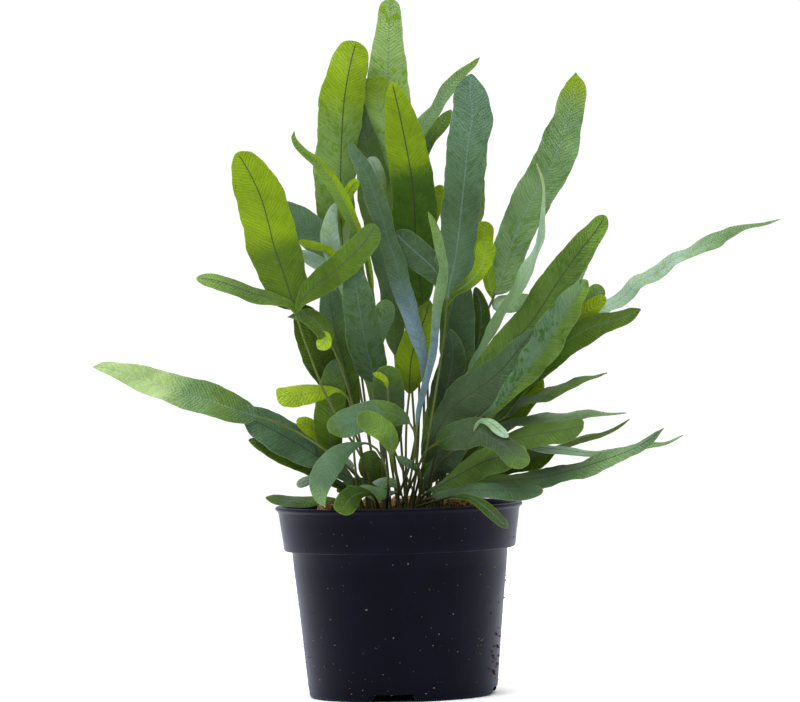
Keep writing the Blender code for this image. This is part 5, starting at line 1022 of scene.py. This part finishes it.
def blade_face(strip, at, v, side, upper, seed):
    """Points of one face: the solid's own section, thinner, its rib raised or sunk and its edges ragged."""
    middle, across, face = strip.frames(at)
    middle[:, 1] += eased(strip.at, strip.shift[:, None], at)[:, 0]
    half = strip.half_width(at, FINE_TIP)[:, None]
    v = v[None, :]
    fold, grow, wave = strip.section(at, v, half)
    stalk, mix = strip.stalk(at, half, FINE_STALK)
    ragged = 1 + RAGGED * two_ripples(at, v, seed) * v**2
    wave = wave + FRILL * grow * two_ripples(at, v, seed + 2) * np.abs(v) ** 3
    thick = FINE_BLADE * (0.2 + 0.8 * np.sqrt(np.clip(1 - v**8, 0, 1)))
    rib = np.clip(1 - (v * half / RIB_HALF) ** 2, 0, 1) ** 2 * np.clip(half / 4, 0.2, 1)
    rise = (-RIB_GROOVE if side == upper else RIB_RISE) * rib
    sideways = v * half * np.cos(fold) * ragged
    bow = (np.sqrt(v**2 + KEEL**2) - KEEL) / (math.sqrt(1 + KEEL**2) - KEEL)
    out = bow * half * np.sin(fold) + wave + side * (thick / 2 + rise)
    sideways = sideways * mix + stalk * np.sin(math.pi / 2 * v) * (1 - mix)
    out = out * mix + side * stalk * np.cos(math.pi / 2 * v) * (1 - mix)
    return laid_out(middle, across, face, sideways, out), half, mix


def shell(strip, looks, stops, seed):
    """A thin leaf or lobe as rings of points, with what its finish reads at each: leaf, habit and tone.

    A ring runs over the far face from the left edge, v -1, to the right one, and back over the near face.
    """
    at = fine_rows(strip)
    run = strip.run(at)
    v = np.sin(np.linspace(-1, 1, ACROSS) * math.pi / 2)
    inner = v[-2:0:-1]
    ring = np.concatenate([v, inner])
    side = np.repeat([1, -1], [len(v), len(inner)])
    upper = 1 if stops[len(stops) // 2] in BARE_TONES and looks["rib"] > 0.3 else -1
    back, half, mix = blade_face(strip, at, v, 1, upper, seed)
    front, _, _ = blade_face(strip, at, v, -1, upper, seed)
    rings = true_place(np.concatenate([back, front[:, -2:0:-1]], axis=1))
    far = leaf_tones([OTHER_SIDE[stop] for stop in stops], None, run, v, seed + 4)
    far[:, (0, -1)] = leaf_tones(stops, looks["right"], run, v[[0, -1]], seed + 5)
    tone = np.concatenate([far, leaf_tones(stops, looks["right"], run, inner, seed + 5)], axis=1)
    foot = step_up((strip.midline(at)[:, 2] - SOIL_TOP) / FOOT_TONE_REACH)[:, None, None]
    stalk_tone = linear(STALK_FOOT_TONE) * (1 - foot) + linear(STALK_TONE) * foot
    stalk_tone = stalk_tone * 0.8 + 0.2 * tone[min(int(len(at) * 0.6), len(at) - 1)].mean(axis=0)
    tone = tone * mix[..., None] + stalk_tone * (1 - mix[..., None])
    margin = np.minimum((1 - np.abs(ring)) * half, (strip.length - at)[:, None] + 0.1)
    along = (at - strip.blade)[:, None] + seed * PATTERN_STEP
    leaf = np.stack(np.broadcast_arrays(ring * half, along, margin), axis=-1)
    on_upper, on_under = (-0.35, max(looks["rib"], 0.35)) if upper == 1 else (looks["rib"], 0.8)
    rib = np.where(side == upper, on_upper, on_under)
    habit = np.stack(np.broadcast_arrays(rib, looks["rub"], mix), axis=-1)
    return rings, leaf, habit, tone


def ring_faces(rows, around):
    """Quads between rings of points, row after row."""
    k, j = np.meshgrid(np.arange(rows - 1), np.arange(around), indexing="ij")
    a = k * around + j
    b = k * around + (j + 1) % around
    return np.stack([a, b, b + around, a + around], axis=-1).reshape(-1, 4)


def signed_volume(points, faces):
    """Six times the volume inside quads, positive where they face outwards."""
    p = points[faces] - points.mean(axis=0)
    return (np.einsum("ij,ij->i", p[:, 0], np.cross(p[:, 1], p[:, 2])).sum()
            + np.einsum("ij,ij->i", p[:, 0], np.cross(p[:, 2], p[:, 3])).sum())


def closed_tube(rings):
    """The points of a tube of rings, and its faces with both ends closed, all pointing outwards."""
    rows, around = rings.shape[:2]
    points = rings.reshape(-1, 3)
    quads = ring_faces(rows, around)
    ends = [list(range(around))[::-1], list(range(len(points) - around, len(points)))]
    if signed_volume(points, quads) < 0:
        quads = quads[:, ::-1]
        ends = [end[::-1] for end in ends]
    return points, quads.tolist() + ends


def surface_object(name, points, faces, material, smooth=True, tone=None, **vectors):
    """An object from points in metres and lists of faces, with its vertex attributes and one material.

    The attribute tone is a linear colour at each point, and any other one is three numbers at each.
    """
    mesh = bpy.data.meshes.new(name)
    mesh.from_pydata(points, [], faces)
    for key, values in vectors.items():
        layer = mesh.attributes.new(key, "FLOAT_VECTOR", "POINT")
        layer.data.foreach_set("vector", values.astype(np.float32).ravel())
    if tone is not None:
        layer = mesh.attributes.new("tone", "FLOAT_COLOR", "POINT")
        layer.data.foreach_set("color", np.insert(tone, 3, 1.0, axis=1).astype(np.float32).ravel())
    mesh.materials.append(material)
    if smooth:
        mesh.shade_smooth()
    thing = bpy.data.objects.new(name, mesh)
    bpy.context.scene.collection.objects.link(thing)
    return thing


def fine_frond(strips, material, seed):
    """One frond with its lobes, as closed thin shells in one mesh."""
    name = strips[0].row["name"]
    looks = LOOKS[name]
    parts = []
    faces = []
    start = 0
    for number, strip in enumerate(strips):
        own, stops = looks, looks["stops"]
        if number > 0:
            own = dict(looks, right=None, rib=min(looks["rib"], 0.6))
            stops = looks["lobes"][number - 1]
        rings, *values = shell(strip, own, stops, seed + number * 7)
        points, tube = closed_tube(rings)
        faces += [[start + i for i in face] for face in tube]
        parts.append([points] + [value.reshape(-1, 3) for value in values])
        start += len(points)
    points, leaf, habit, tone = (np.concatenate(part) for part in zip(*parts))
    piece_name = name.removeprefix("frond_") + "_frond"
    thing = surface_object(piece_name, points, faces, material, leaf=leaf, habit=habit, tone=tone)
    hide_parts(name)
    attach(thing, "root")


# Pot, in millimetres.
POT_HEIGHT = 92.6
RIM_RADIUS = 60.0
BAND_TOP_RADIUS = 58.6
BAND_FOOT_RADIUS = 56.2
BAND_FOOT_HEIGHT = 71.0
BODY_TOP_RADIUS = 52.4
BODY_FOOT_RADIUS = 45.8
FLOOR_LIFT = 4.0
WALL = 1.3
NOTCH_WIDTH = 21.0
NOTCH_HEIGHT = 3.4
NOTCH_TURN = math.radians(-96.0)
DRAIN_RADIUS = 4.0
DRAIN_RING = 27.0
DRAIN_COUNT = 6
GATE_RADIUS = 5.0
POT_AROUND = 288
DRILL_SIDES = 32
DRILL_HEIGHTS = (1.0, FLOOR_LIFT + WALL + 3)
MOULD_TURNS = np.radians((-89.0, -128.0, -55.0, 91.0))
MOULD_RISE = 0.07
MOULD_WIDTH = 0.5
MOULD_RADIUS = 55
OUTER_ROWS = slice(11, 25)


def pot_section():
    """The pot's section as (radius, height), from the middle of the underside to the middle of the floor."""
    inner_top = BAND_TOP_RADIUS - WALL
    inner_step = BODY_TOP_RADIUS - WALL
    inner_foot = BODY_FOOT_RADIUS - WALL
    return np.array([
        (0.01, 0.0), (GATE_RADIUS - 0.4, 0.0), (GATE_RADIUS - 0.05, 0.4), (GATE_RADIUS, FLOOR_LIFT),
        (inner_foot - WALL - 0.4, FLOOR_LIFT), (inner_foot - WALL, FLOOR_LIFT - 0.3),
        (inner_foot - WALL + 0.3, 0.5), (inner_foot - WALL + 0.7, 0.1), (BODY_FOOT_RADIUS - 1.3, 0.0),
        (BODY_FOOT_RADIUS - 0.7, 0.25), (BODY_FOOT_RADIUS - 0.25, 0.8), (BODY_FOOT_RADIUS + 0.03, 1.8),
        (BODY_FOOT_RADIUS + 0.32, 5.0), (BODY_FOOT_RADIUS + 1.9, 22.0), (BODY_FOOT_RADIUS + 3.75, 42.0),
        (BODY_TOP_RADIUS - 0.7, 62.0), (BODY_TOP_RADIUS - 0.02, BAND_FOOT_HEIGHT - 0.6),
        (BODY_TOP_RADIUS + 0.35, BAND_FOOT_HEIGHT - 0.05), (BODY_TOP_RADIUS + 1.0, BAND_FOOT_HEIGHT),
        (BAND_FOOT_RADIUS - 0.75, BAND_FOOT_HEIGHT), (BAND_FOOT_RADIUS - 0.25, BAND_FOOT_HEIGHT + 0.2),
        (BAND_FOOT_RADIUS, BAND_FOOT_HEIGHT + 0.8), (BAND_FOOT_RADIUS + 0.45, BAND_FOOT_HEIGHT + 5.0),
        (BAND_TOP_RADIUS - 0.7, POT_HEIGHT - 8.0), (BAND_TOP_RADIUS - 0.06, POT_HEIGHT - 3.0),
        (BAND_TOP_RADIUS + 0.3, POT_HEIGHT - 2.3), (RIM_RADIUS - 0.25, POT_HEIGHT - 1.75),
        (RIM_RADIUS, POT_HEIGHT - 1.3), (RIM_RADIUS - 0.02, POT_HEIGHT - 0.6),
        (RIM_RADIUS - 0.35, POT_HEIGHT - 0.12), (RIM_RADIUS - 0.9, POT_HEIGHT),
        (inner_top + 0.5, POT_HEIGHT - 0.05), (inner_top, POT_HEIGHT - 0.5),
        (inner_top - 0.1, POT_HEIGHT - 1.5), (BAND_FOOT_RADIUS - WALL, BAND_FOOT_HEIGHT + 2.4),
        (inner_step, BAND_FOOT_HEIGHT + 1.2), (inner_foot, FLOOR_LIFT + WALL + 1.2),
        (inner_foot - 1.2, FLOOR_LIFT + WALL), (0.01, FLOOR_LIFT + WALL),
    ])


def black_polypropylene():
    """Injection-moulded polypropylene: satin black, a faint blue cast, fine flow marks and a haze of dust."""
    material, tree, shader = new_finish("black_polypropylene")
    where = add(tree, "TexCoord", out="Object")
    # 1 mm flow marks, drawn out along the height, and 20 mm hazes of dust.
    tall = add(tree, "Mapping", {"Vector": where, "Scale": (1.0, 1.0, 0.12)})
    marks = add(tree, "TexNoise", {"Vector": tall, "Scale": 700.0, "Detail": 3.0})
    haze = add(tree, "TexNoise", {"Vector": where, "Scale": 55.0, "Detail": 5.0, "Roughness": 0.6})
    # Specks of potting mix under half a millimetre, a few to each square centimetre.
    cells = add(tree, "TexVoronoi", {"Vector": where, "Scale": 260.0, "Randomness": 1.0}, "Color")
    chance, kind, _ = add(tree, "SeparateColor", (cells,)).node.outputs
    chosen = add(tree, "MapRange", (chance, 0.94, 0.945), **SMOOTH)
    speck = add(tree, "MapRange", (cells.node.outputs["Distance"], 0.05, 0.10, chosen, 0.0), **SMOOTH)
    speck_tone = add(tree, "Mix", {0: kind, 6: paint("#6B4A30"), 7: paint("#A59A8C")}, 2, **BLEND)
    share = add(tree, "MapRange", (haze, 0.35, 0.75), **SMOOTH)
    colour = add(tree, "Mix", {0: share, 6: paint("#03030A"), 7: paint("#060713")}, 2, **BLEND)
    colour = add(tree, "Mix", {0: speck, 6: colour, 7: speck_tone}, 2, **BLEND)
    rough = add(tree, "Math", (haze, 0.16, 0.33), **TIMES_PLUS)
    rough = add(tree, "Math", (speck, 0.4, rough), **TIMES_PLUS)
    bump = add(tree, "Bump", {"Height": marks, "Strength": 0.12, "Distance": 0.0002})
    feed(tree, shader, {"Base Color": colour, "Roughness": rough, "Normal": bump, "IOR": 1.49,
                        "Specular IOR Level": 0.08, "Specular Tint": paint("#D2D6F0"),
                        "Sheen Weight": 0.16, "Sheen Roughness": 0.4, "Sheen Tint": (0.42, 0.48, 1.0, 1.0)})
    return material


def nursery_pot():
    """The pot turned about Z: its section at every angle, lifted at four notches, with mould lines.

    A mould line stands out as a low ridge, a bell curve of the angle, on the outer rows of the section.
    """
    section = pot_section()
    angle = 2 * math.pi * np.arange(POT_AROUND) / POT_AROUND
    radius = np.repeat(section[:, :1], POT_AROUND, 1)
    height = np.repeat(section[:, 1:], POT_AROUND, 1)
    away = np.abs((angle - NOTCH_TURN + math.pi / 4) % (math.pi / 2) - math.pi / 4) * BODY_FOOT_RADIUS
    lift = NOTCH_HEIGHT * step_up((NOTCH_WIDTH / 2 + 0.5 - away) / 1.0)
    foot = (height < NOTCH_HEIGHT) & (radius > DRAIN_RING)
    height = np.where(foot, np.maximum(height, lift), height)
    for turn in MOULD_TURNS:
        apart = (angle - turn + math.pi) % (2 * math.pi) - math.pi
        radius[OUTER_ROWS] += MOULD_RISE * np.exp(-(apart * MOULD_RADIUS / MOULD_WIDTH) ** 2)
    points = np.stack([radius * np.cos(angle), radius * np.sin(angle), height], axis=-1) * MM
    pot = surface_object("black_nursery_pot", *closed_tube(points), black_polypropylene())
    drill_floor(pot)
    pot.data.set_sharp_from_angle(angle=math.radians(50))
    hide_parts("nursery_pot")
    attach(pot, "root")


def drill_floor(pot):
    """Cut the round drain holes through the floor with upright cylinders."""
    angle = 2 * math.pi * np.arange(DRILL_SIDES) / DRILL_SIDES
    points = []
    faces = []
    for k in range(DRAIN_COUNT):
        turn = 2 * math.pi * (k + 0.5) / DRAIN_COUNT
        x = DRAIN_RING * math.cos(turn) + DRAIN_RADIUS * np.cos(angle)
        y = DRAIN_RING * math.sin(turn) + DRAIN_RADIUS * np.sin(angle)
        low, high = (np.stack([x, y, np.full(DRILL_SIDES, z)], axis=-1) for z in DRILL_HEIGHTS)
        start = len(points) * DRILL_SIDES
        middle = start + DRILL_SIDES
        faces += (ring_faces(2, DRILL_SIDES) + start).tolist()
        faces += [list(range(start, middle))[::-1], list(range(middle, middle + DRILL_SIDES))]
        points += [low, high]
    drills = surface_object("drills", np.concatenate(points) * MM, faces, pot.data.materials[0])
    cut = pot.modifiers.new("drain_holes", "BOOLEAN")
    cut.operation = "DIFFERENCE"
    cut.solver = "EXACT"
    cut.object = drills
    done = pot.evaluated_get(bpy.context.evaluated_depsgraph_get())
    mesh = bpy.data.meshes.new_from_object(done)
    pot.modifiers.clear()
    pot.data = mesh
    bpy.data.objects.remove(drills)


def potting_mix():
    """Moist peat with bark: dark, crumbly and matt, its crumbs from under 1 mm up to 4 mm."""
    material, tree, shader = new_finish("potting_mix")
    where = add(tree, "TexCoord", out="Object")
    tone = add(tree, "Attribute", out="Color", attribute_name="tone")
    crumb = add(tree, "TexVoronoi", {"Vector": where, "Scale": 520.0}, "Distance", feature="SMOOTH_F1")
    grain = add(tree, "TexNoise", {"Vector": where, "Scale": 900.0, "Detail": 6.0, "Roughness": 0.7})
    damp = add(tree, "Mix", {0: 1.0, 6: tone, 7: (0.45, 0.42, 0.4, 1.0)}, 2, **TINT)
    dry = add(tree, "Mix", {0: 1.0, 6: tone, 7: (1.5, 1.4, 1.3, 1.0)}, 2, **TINT)
    share = add(tree, "MapRange", (grain, 0.3, 0.75), **SMOOTH)
    colour = add(tree, "Mix", {0: share, 6: damp, 7: dry}, 2, **BLEND)
    height = add(tree, "Math", (grain, crumb), operation="SUBTRACT")
    bump = add(tree, "Bump", {"Height": height, "Strength": 0.8, "Distance": 0.0012})
    feed(tree, shader, {"Base Color": colour, "Normal": bump, "Roughness": 0.92, "Specular IOR Level": 0.25})
    return material


# Soil, bark and crumbs, in millimetres, with how many there are of each kind.
SOIL_EDGE = 55.9
SOIL_AROUND = 200
SOIL_RINGS = 90
SOIL_SHOWN_DEPTH = 12
SOIL_TONE = "#3A2517"
WALL_TONES = ("#574433", "#766A5E", "#8A7E72", "#6A4633", "#3E3226")
BARK_TONES = ("#2B1A10", "#3D2414", "#54321C", "#6E4527", "#1C120B", "#7A5A3C")
DAMP_TONES = BARK_TONES[1:4]
BARK_COUNT = 1500
WALL_COUNT = 260
BAND_COUNT = 60
DAMP_COUNT = 18
BARK_REACH = 54.5
BARK_FORM = (1.9, 1.1, 0.6)
STALK_CLEAR = 2.2


def soil_height(x, y):
    """Height of the soil's surface: nearly level with low humps, and falling a little at the edge."""
    r = np.hypot(x, y)
    humps = (np.sin(x / 5.1 + 1.3) * np.sin(y / 4.3 + 0.4) + 0.6 * np.sin(x / 2.3 + y / 2.9)
             + 0.4 * np.sin(x / 1.27 - y / 1.71 + 2.0)) * 0.28
    return SOIL_TOP - 0.35 + humps - 0.8 * step_up((r - 38) / 18)


def potting_soil(material):
    """The soil: a closed disc of rings whose top follows its humps, over the pot's hidden fill."""
    angle = 2 * math.pi * np.arange(SOIL_AROUND) / SOIL_AROUND
    reach = SOIL_EDGE * (np.arange(SOIL_RINGS) + 0.5) / (SOIL_RINGS - 0.5)
    x = reach[:, None] * np.cos(angle)
    y = reach[:, None] * np.sin(angle)
    top = np.stack([x, y, soil_height(x, y)], axis=-1)
    under = top[-1:] * (0.98, 0.98, 0.0) + (0.0, 0.0, SOIL_TOP - SOIL_SHOWN_DEPTH)
    points = np.concatenate([top, under]).reshape(-1, 3) * MM
    quads = np.roll(ring_faces(SOIL_RINGS + 1, SOIL_AROUND)[:, ::-1], 1, axis=1)
    last = SOIL_RINGS * SOIL_AROUND
    faces = quads.tolist() + [list(range(SOIL_AROUND)), list(range(last, last + SOIL_AROUND))[::-1]]
    tone = np.tile(linear(SOIL_TONE), (len(points), 1))
    soil = surface_object("moist_potting_soil", points, faces, material, tone=tone)
    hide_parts("potting_soil")
    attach(soil, "root")


def crumb_shapes(count, sizes, rng):
    """Irregular crumbs about the origin, (count, 8, 3): boxes with moved corners, turned any way."""
    corners = np.array([(i, j, k) for i in (-1, 1) for j in (-1, 1) for k in (-1, 1)], float) / 2
    shape = corners[None] * (1 + rng.uniform(-0.35, 0.25, (count, 8, 3)))
    shape *= sizes[:, None, :]
    spin = rng.uniform(0, 2 * math.pi, count)[:, None]
    tilt = rng.normal(0, 0.25, count)[:, None]
    x = shape[..., 0] * np.cos(tilt) - shape[..., 2] * np.sin(tilt)
    y = shape[..., 1]
    z = shape[..., 0] * np.sin(tilt) + shape[..., 2] * np.cos(tilt)
    return np.stack([x * np.cos(spin) - y * np.sin(spin), x * np.sin(spin) + y * np.cos(spin), z], axis=-1)


CRUMB_FACES = np.array([(0, 1, 3, 2), (4, 6, 7, 5), (0, 4, 5, 1), (2, 3, 7, 6), (0, 2, 6, 4), (1, 5, 7, 3)])


def crumbs(name, places, sizes, tones, material, rng):
    """Many crumbs as one piece, each with its own tone."""
    count = len(places)
    shapes = crumb_shapes(count, sizes, rng) + places[:, None, :]
    faces = (CRUMB_FACES[None] + 8 * np.arange(count)[:, None, None]).reshape(-1, 4)
    palette = np.array([linear(tone) for tone in tones])
    tone = np.repeat(palette[rng.integers(0, len(palette), count)], 8, axis=0)
    piece = surface_object(name, shapes.reshape(-1, 3) * MM, faces.tolist(), material, False, tone=tone)
    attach(piece, "root")


def around_pot(turn, height, foot, top):
    """Points around the pot on a cone through two rings, foot and top, each given as (radius, height)."""
    radius = foot[0] + (top[0] - foot[0]) * (height - foot[1]) / (top[1] - foot[1])
    return np.stack([radius * np.cos(turn), radius * np.sin(turn), height], axis=-1)


def bark_and_crumbs(material, roots):
    """Bark bits over the soil, clear of the stalks, and crumbs of mix on the pot's band and wall."""
    wall = ((BODY_FOOT_RADIUS, 0.0), (BODY_TOP_RADIUS, BAND_FOOT_HEIGHT))
    band = ((BAND_FOOT_RADIUS, BAND_FOOT_HEIGHT), (BAND_TOP_RADIUS, POT_HEIGHT))
    rng = np.random.default_rng(41)
    reach = BARK_REACH * np.sqrt(rng.uniform(0, 1, BARK_COUNT))
    turn = rng.uniform(0, 2 * math.pi, BARK_COUNT)
    x, y = reach * np.cos(turn), reach * np.sin(turn)
    size = rng.uniform(0.6, 1.0, (BARK_COUNT, 3))
    size = size * rng.choice([1.0, 1.6, 2.6], (BARK_COUNT, 1), p=[0.6, 0.3, 0.1]) * BARK_FORM
    clear = np.min(np.hypot(x[:, None] - roots[:, 0], y[:, None] - roots[:, 1]), axis=1) > STALK_CLEAR
    places = np.stack([x, y, soil_height(x, y) + size[:, 2] * 0.25], axis=-1)
    crumbs("bark_bits", places[clear], size[clear], BARK_TONES, material, rng)
    turn = rng.uniform(0, 2 * math.pi, WALL_COUNT)
    height = 3 + 65 * rng.uniform(0, 1, WALL_COUNT) ** 1.3
    size = rng.uniform(0.2, 0.55, (WALL_COUNT, 3))
    size = size * rng.choice([1.0, 1.7], (WALL_COUNT, 1), p=[0.88, 0.12])
    crumbs("wall_crumbs", around_pot(turn, height, *wall), size, WALL_TONES, material, rng)
    turn = rng.uniform(0, 2 * math.pi, BAND_COUNT)
    height = rng.uniform(BAND_FOOT_HEIGHT + 2, POT_HEIGHT - 4, BAND_COUNT)
    size = rng.uniform(0.2, 0.6, (BAND_COUNT, 3))
    crumbs("band_crumbs", around_pot(turn, height, *band), size, WALL_TONES, material, rng)
    # A clot of damp mix clings low on the right of the wall.
    turn = rng.normal(math.radians(-20), 0.09, DAMP_COUNT)
    height = 6 + 24 * rng.uniform(0, 1, DAMP_COUNT)
    size = rng.uniform(0.4, 1.2, (DAMP_COUNT, 3))
    crumbs("damp_clot", around_pot(turn, height, *wall), size, DAMP_TONES, material, rng)


def golden_scales():
    """Rhizome skin: golden-brown papery scales about 1.5 mm long over a pale green stem."""
    material, tree, shader = new_finish("golden_scales")
    where = add(tree, "TexCoord", out="Object")
    cells = add(tree, "TexVoronoi", {"Vector": where, "Scale": 650.0}, "Distance")
    fibre = add(tree, "TexNoise", {"Vector": where, "Scale": 1500.0, "Detail": 4.0})
    share = add(tree, "MapRange", (cells, 0.1, 0.7), **SMOOTH)
    colour = add(tree, "Mix", {0: share, 6: paint("#B07A3A"), 7: paint("#5B3517")}, 2, **BLEND)
    share = add(tree, "MapRange", (fibre, 0.4, 0.7, 0.0, 0.5), **SMOOTH)
    colour = add(tree, "Mix", {0: share, 6: colour, 7: paint("#D3A765")}, 2, **BLEND)
    height = add(tree, "Math", (fibre, cells), operation="SUBTRACT")
    bump = add(tree, "Bump", {"Height": height, "Strength": 0.9, "Distance": 0.0006})
    feed(tree, shader, {"Base Color": colour, "Normal": bump, "Roughness": 0.7})
    return material


RHIZOME_RADIUS = 3.6
RHIZOME_PATH = (
    (-39.0, 10.0), (-30.0, 20.0), (-16.0, 27.0), (0.0, 29.5), (16.0, 29.0), (29.0, 24.0), (38.0, 14.0),
)
RHIZOME_ROWS = 130
RHIZOME_AROUND = 28
SCALE_COUNT = 900
SCALE_HALF = 0.32
SCALE_FACES = np.array([(0, 1, 3), (1, 2, 3), (2, 0, 3), (0, 2, 1)])


def rhizome(material):
    """The creeping stem: a round section carried along its bow, knobbly, with small pointed scales."""
    path = np.array(RHIZOME_PATH)
    knots = np.concatenate([[0.0], np.cumsum(np.hypot(*np.diff(path, axis=0).T))])
    at = np.linspace(0, knots[-1], RHIZOME_ROWS)
    line = eased(knots, path, at)
    ahead = np.gradient(line, axis=0)
    ahead /= np.linalg.norm(ahead, axis=1)[:, None]
    ends = rounded_end(at, 6.0, 2.0) * rounded_end(knots[-1] - at, 12.0, 1.7)
    radius = RHIZOME_RADIUS * np.maximum(ends, 0.06) * (1 + 0.13 * np.sin(at * 0.9) + 0.05 * np.sin(at * 2.7))
    level = SOIL_TOP + 0.5 + radius * 0.85
    angle = 2 * math.pi * np.arange(RHIZOME_AROUND) / RHIZOME_AROUND
    sideways = radius[:, None] * np.cos(angle)
    rings = np.stack([line[:, :1] + ahead[:, 1:] * sideways, line[:, 1:] - ahead[:, :1] * sideways,
                      level[:, None] + radius[:, None] * np.sin(angle)], axis=-1)
    points, faces = closed_tube(rings)
    # Each scale is a thin pyramid: two points at its foot, one over them, and a tip leaning ahead.
    rng = np.random.default_rng(7)
    row = rng.integers(2, RHIZOME_ROWS - 3, SCALE_COUNT)
    turn = rng.uniform(-0.3, math.pi + 0.3, SCALE_COUNT)
    ax, ay = ahead[row, 0], ahead[row, 1]
    normal = np.stack([ay * np.cos(turn), -ax * np.cos(turn), np.sin(turn)], axis=-1)
    base = np.column_stack([line[row], level[row]]) + normal * (radius[row] * 0.98)[:, None]
    along = np.stack([ax, ay, np.zeros(SCALE_COUNT)], axis=-1)
    wide = np.cross(normal, along)
    length = rng.uniform(0.9, 1.8, SCALE_COUNT)[:, None]
    lean = rng.uniform(-0.5, 0.5, SCALE_COUNT)[:, None]
    tip = base + (along + wide * lean) * length + normal * length * 0.45
    scales = np.stack([base - wide * SCALE_HALF, base + wide * SCALE_HALF, tip, base + normal * 0.25], axis=1)
    first = len(points) + 4 * np.arange(SCALE_COUNT)
    faces += (SCALE_FACES + first[:, None, None]).reshape(-1, 3).tolist()
    points = np.concatenate([points, scales.reshape(-1, 3)]) * MM
    piece = surface_object("scaly_rhizome", points, faces, material)
    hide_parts("rhizome")
    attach(piece, "root")


# Camera, ground and light, in metres. PICTURE_SCALE is a pixel's size at the pot's axis.
CAMERA_DISTANCE = 2.2
PICTURE_SCALE = 0.4858e-3
PICTURE_WIDTH = 800
AIM = Vector((0.00242, 0.0, 0.16681))
CAMERA_ROLL = math.radians(-1.4)
SENSOR = 36.0
FLOOR_HALF = 1.4
FLOOR_DROP = 0.0002
WHITE = (1.0, 1.0, 1.0, 1.0)
GROUND_SEEN = 1.05
SURROUND_FRONT = 0.05
SURROUND_BACK = 0.8
SURROUND_TOP = 0.28


def camera():
    """A long lens at the height of the plant's middle, rolled a little as the photograph is."""
    lens = bpy.data.cameras.new("camera")
    lens.sensor_width = SENSOR
    lens.lens = SENSOR * CAMERA_DISTANCE / (PICTURE_WIDTH * PICTURE_SCALE)
    eye = bpy.data.objects.new("camera", lens)
    bpy.context.scene.collection.objects.link(eye)
    place = Vector((0.0, -CAMERA_DISTANCE, EYE_HEIGHT * MM))
    look_at = (AIM - place).to_track_quat("-Z", "Y").to_matrix().to_4x4()
    eye.matrix_world = Matrix.Translation(place) @ look_at @ Matrix.Rotation(CAMERA_ROLL, 4, "Z")
    bpy.context.scene.camera = eye


def sun(name, strength, spread, height, bearing):
    """A soft sun; bearing 0 shines from the camera's side, and 90 from the right."""
    light = bpy.data.lights.new(name, "SUN")
    light.energy = strength
    light.angle = math.radians(spread)
    thing = bpy.data.objects.new(name, light)
    bpy.context.scene.collection.objects.link(thing)
    h, b = math.radians(height), math.radians(bearing)
    source = Vector((math.sin(b) * math.cos(h), -math.cos(b) * math.cos(h), math.sin(h)))
    thing.rotation_euler = source.to_track_quat("Z", "Y").to_euler()


def ground():
    """A white card under the pot, lit a little from below outside the pot's foot."""
    corners = [(x * FLOOR_HALF, y * FLOOR_HALF, 0) for x, y in ((-1, -1), (1, -1), (1, 1), (-1, 1))]
    material, tree, shader = new_finish("matt_white_card")
    where = add(tree, "TexCoord", out="Object")
    from_axis = add(tree, "VectorMath", (where,), "Value", operation="LENGTH")
    glow = add(tree, "MapRange", (from_axis, 0.047, 0.056, 0.0, 0.14), **SMOOTH)
    feed(tree, shader, {"Base Color": paint("#FFFFFF"), "Roughness": 0.9, "Specular IOR Level": 0.1,
                        "Emission Color": WHITE, "Emission Strength": glow})
    floor = surface_object("studio_floor", corners, [(0, 1, 2, 3)], material, False)
    floor.location = (0, 0, -FLOOR_DROP)


def surround():
    """The world: plain white to the eye, and for the light bright behind, fair above and dim in front."""
    world = bpy.data.worlds.new("studio")
    bpy.context.scene.world = world
    world.use_nodes = True
    tree = world.node_tree
    seen = add(tree, "LightPath", out="Is Camera Ray")
    way = add(tree, "TexCoord", out="Generated")
    _, behind, above = add(tree, "SeparateXYZ", (way,)).node.outputs
    glow = add(tree, "MapRange", (behind, -0.95, 0.6, SURROUND_FRONT, SURROUND_BACK), **SMOOTH)
    top = add(tree, "MapRange", (above, 0.1, 0.9, 0.0, SURROUND_TOP), **SMOOTH)
    glow = add(tree, "Math", (glow, top), operation="ADD")
    unseen = add(tree, "Math", (1.0, seen), operation="SUBTRACT")
    glow = add(tree, "Math", (unseen, glow), **TIMES)
    glow = add(tree, "Math", (seen, GROUND_SEEN, glow), **TIMES_PLUS)
    feed(tree, tree.nodes["Background"], {"Color": WHITE, "Strength": glow})


def studio():
    """The ground, the surround and three large soft lights."""
    ground()
    surround()
    sun("key_light", 2.68, 70, 62, -35)
    sun("fill_light", 0.36, 80, 45, 50)
    sun("back_light", 0.9, 80, 62, 170)
    bpy.context.scene.view_settings.view_transform = "Standard"


def grow():
    """Build every frond with its own seed, and return where the stalks stand."""
    rows = tall_fronds() + left_fronds() + right_fronds() + low_fronds() + back_fronds()
    rows.sort(key=lambda row: row["layer"])
    fronds = make_strips(rows)
    bend_clear(fronds)
    leaf = waxy_leaf()
    roots = []
    for number, strips in enumerate(fronds):
        fine_frond(strips, leaf, 100 + number * 31)
        foot = true_place(np.array([[strips[0].points[0, 0], strips[0].depth, SOIL_TOP]]))[0] / MM
        roots.append(foot[:2])
    return np.array(roots)


roots = grow()
nursery_pot()
mix = potting_mix()
potting_soil(mix)
bark_and_crumbs(mix, roots)
rhizome(golden_scales())
camera()
studio()
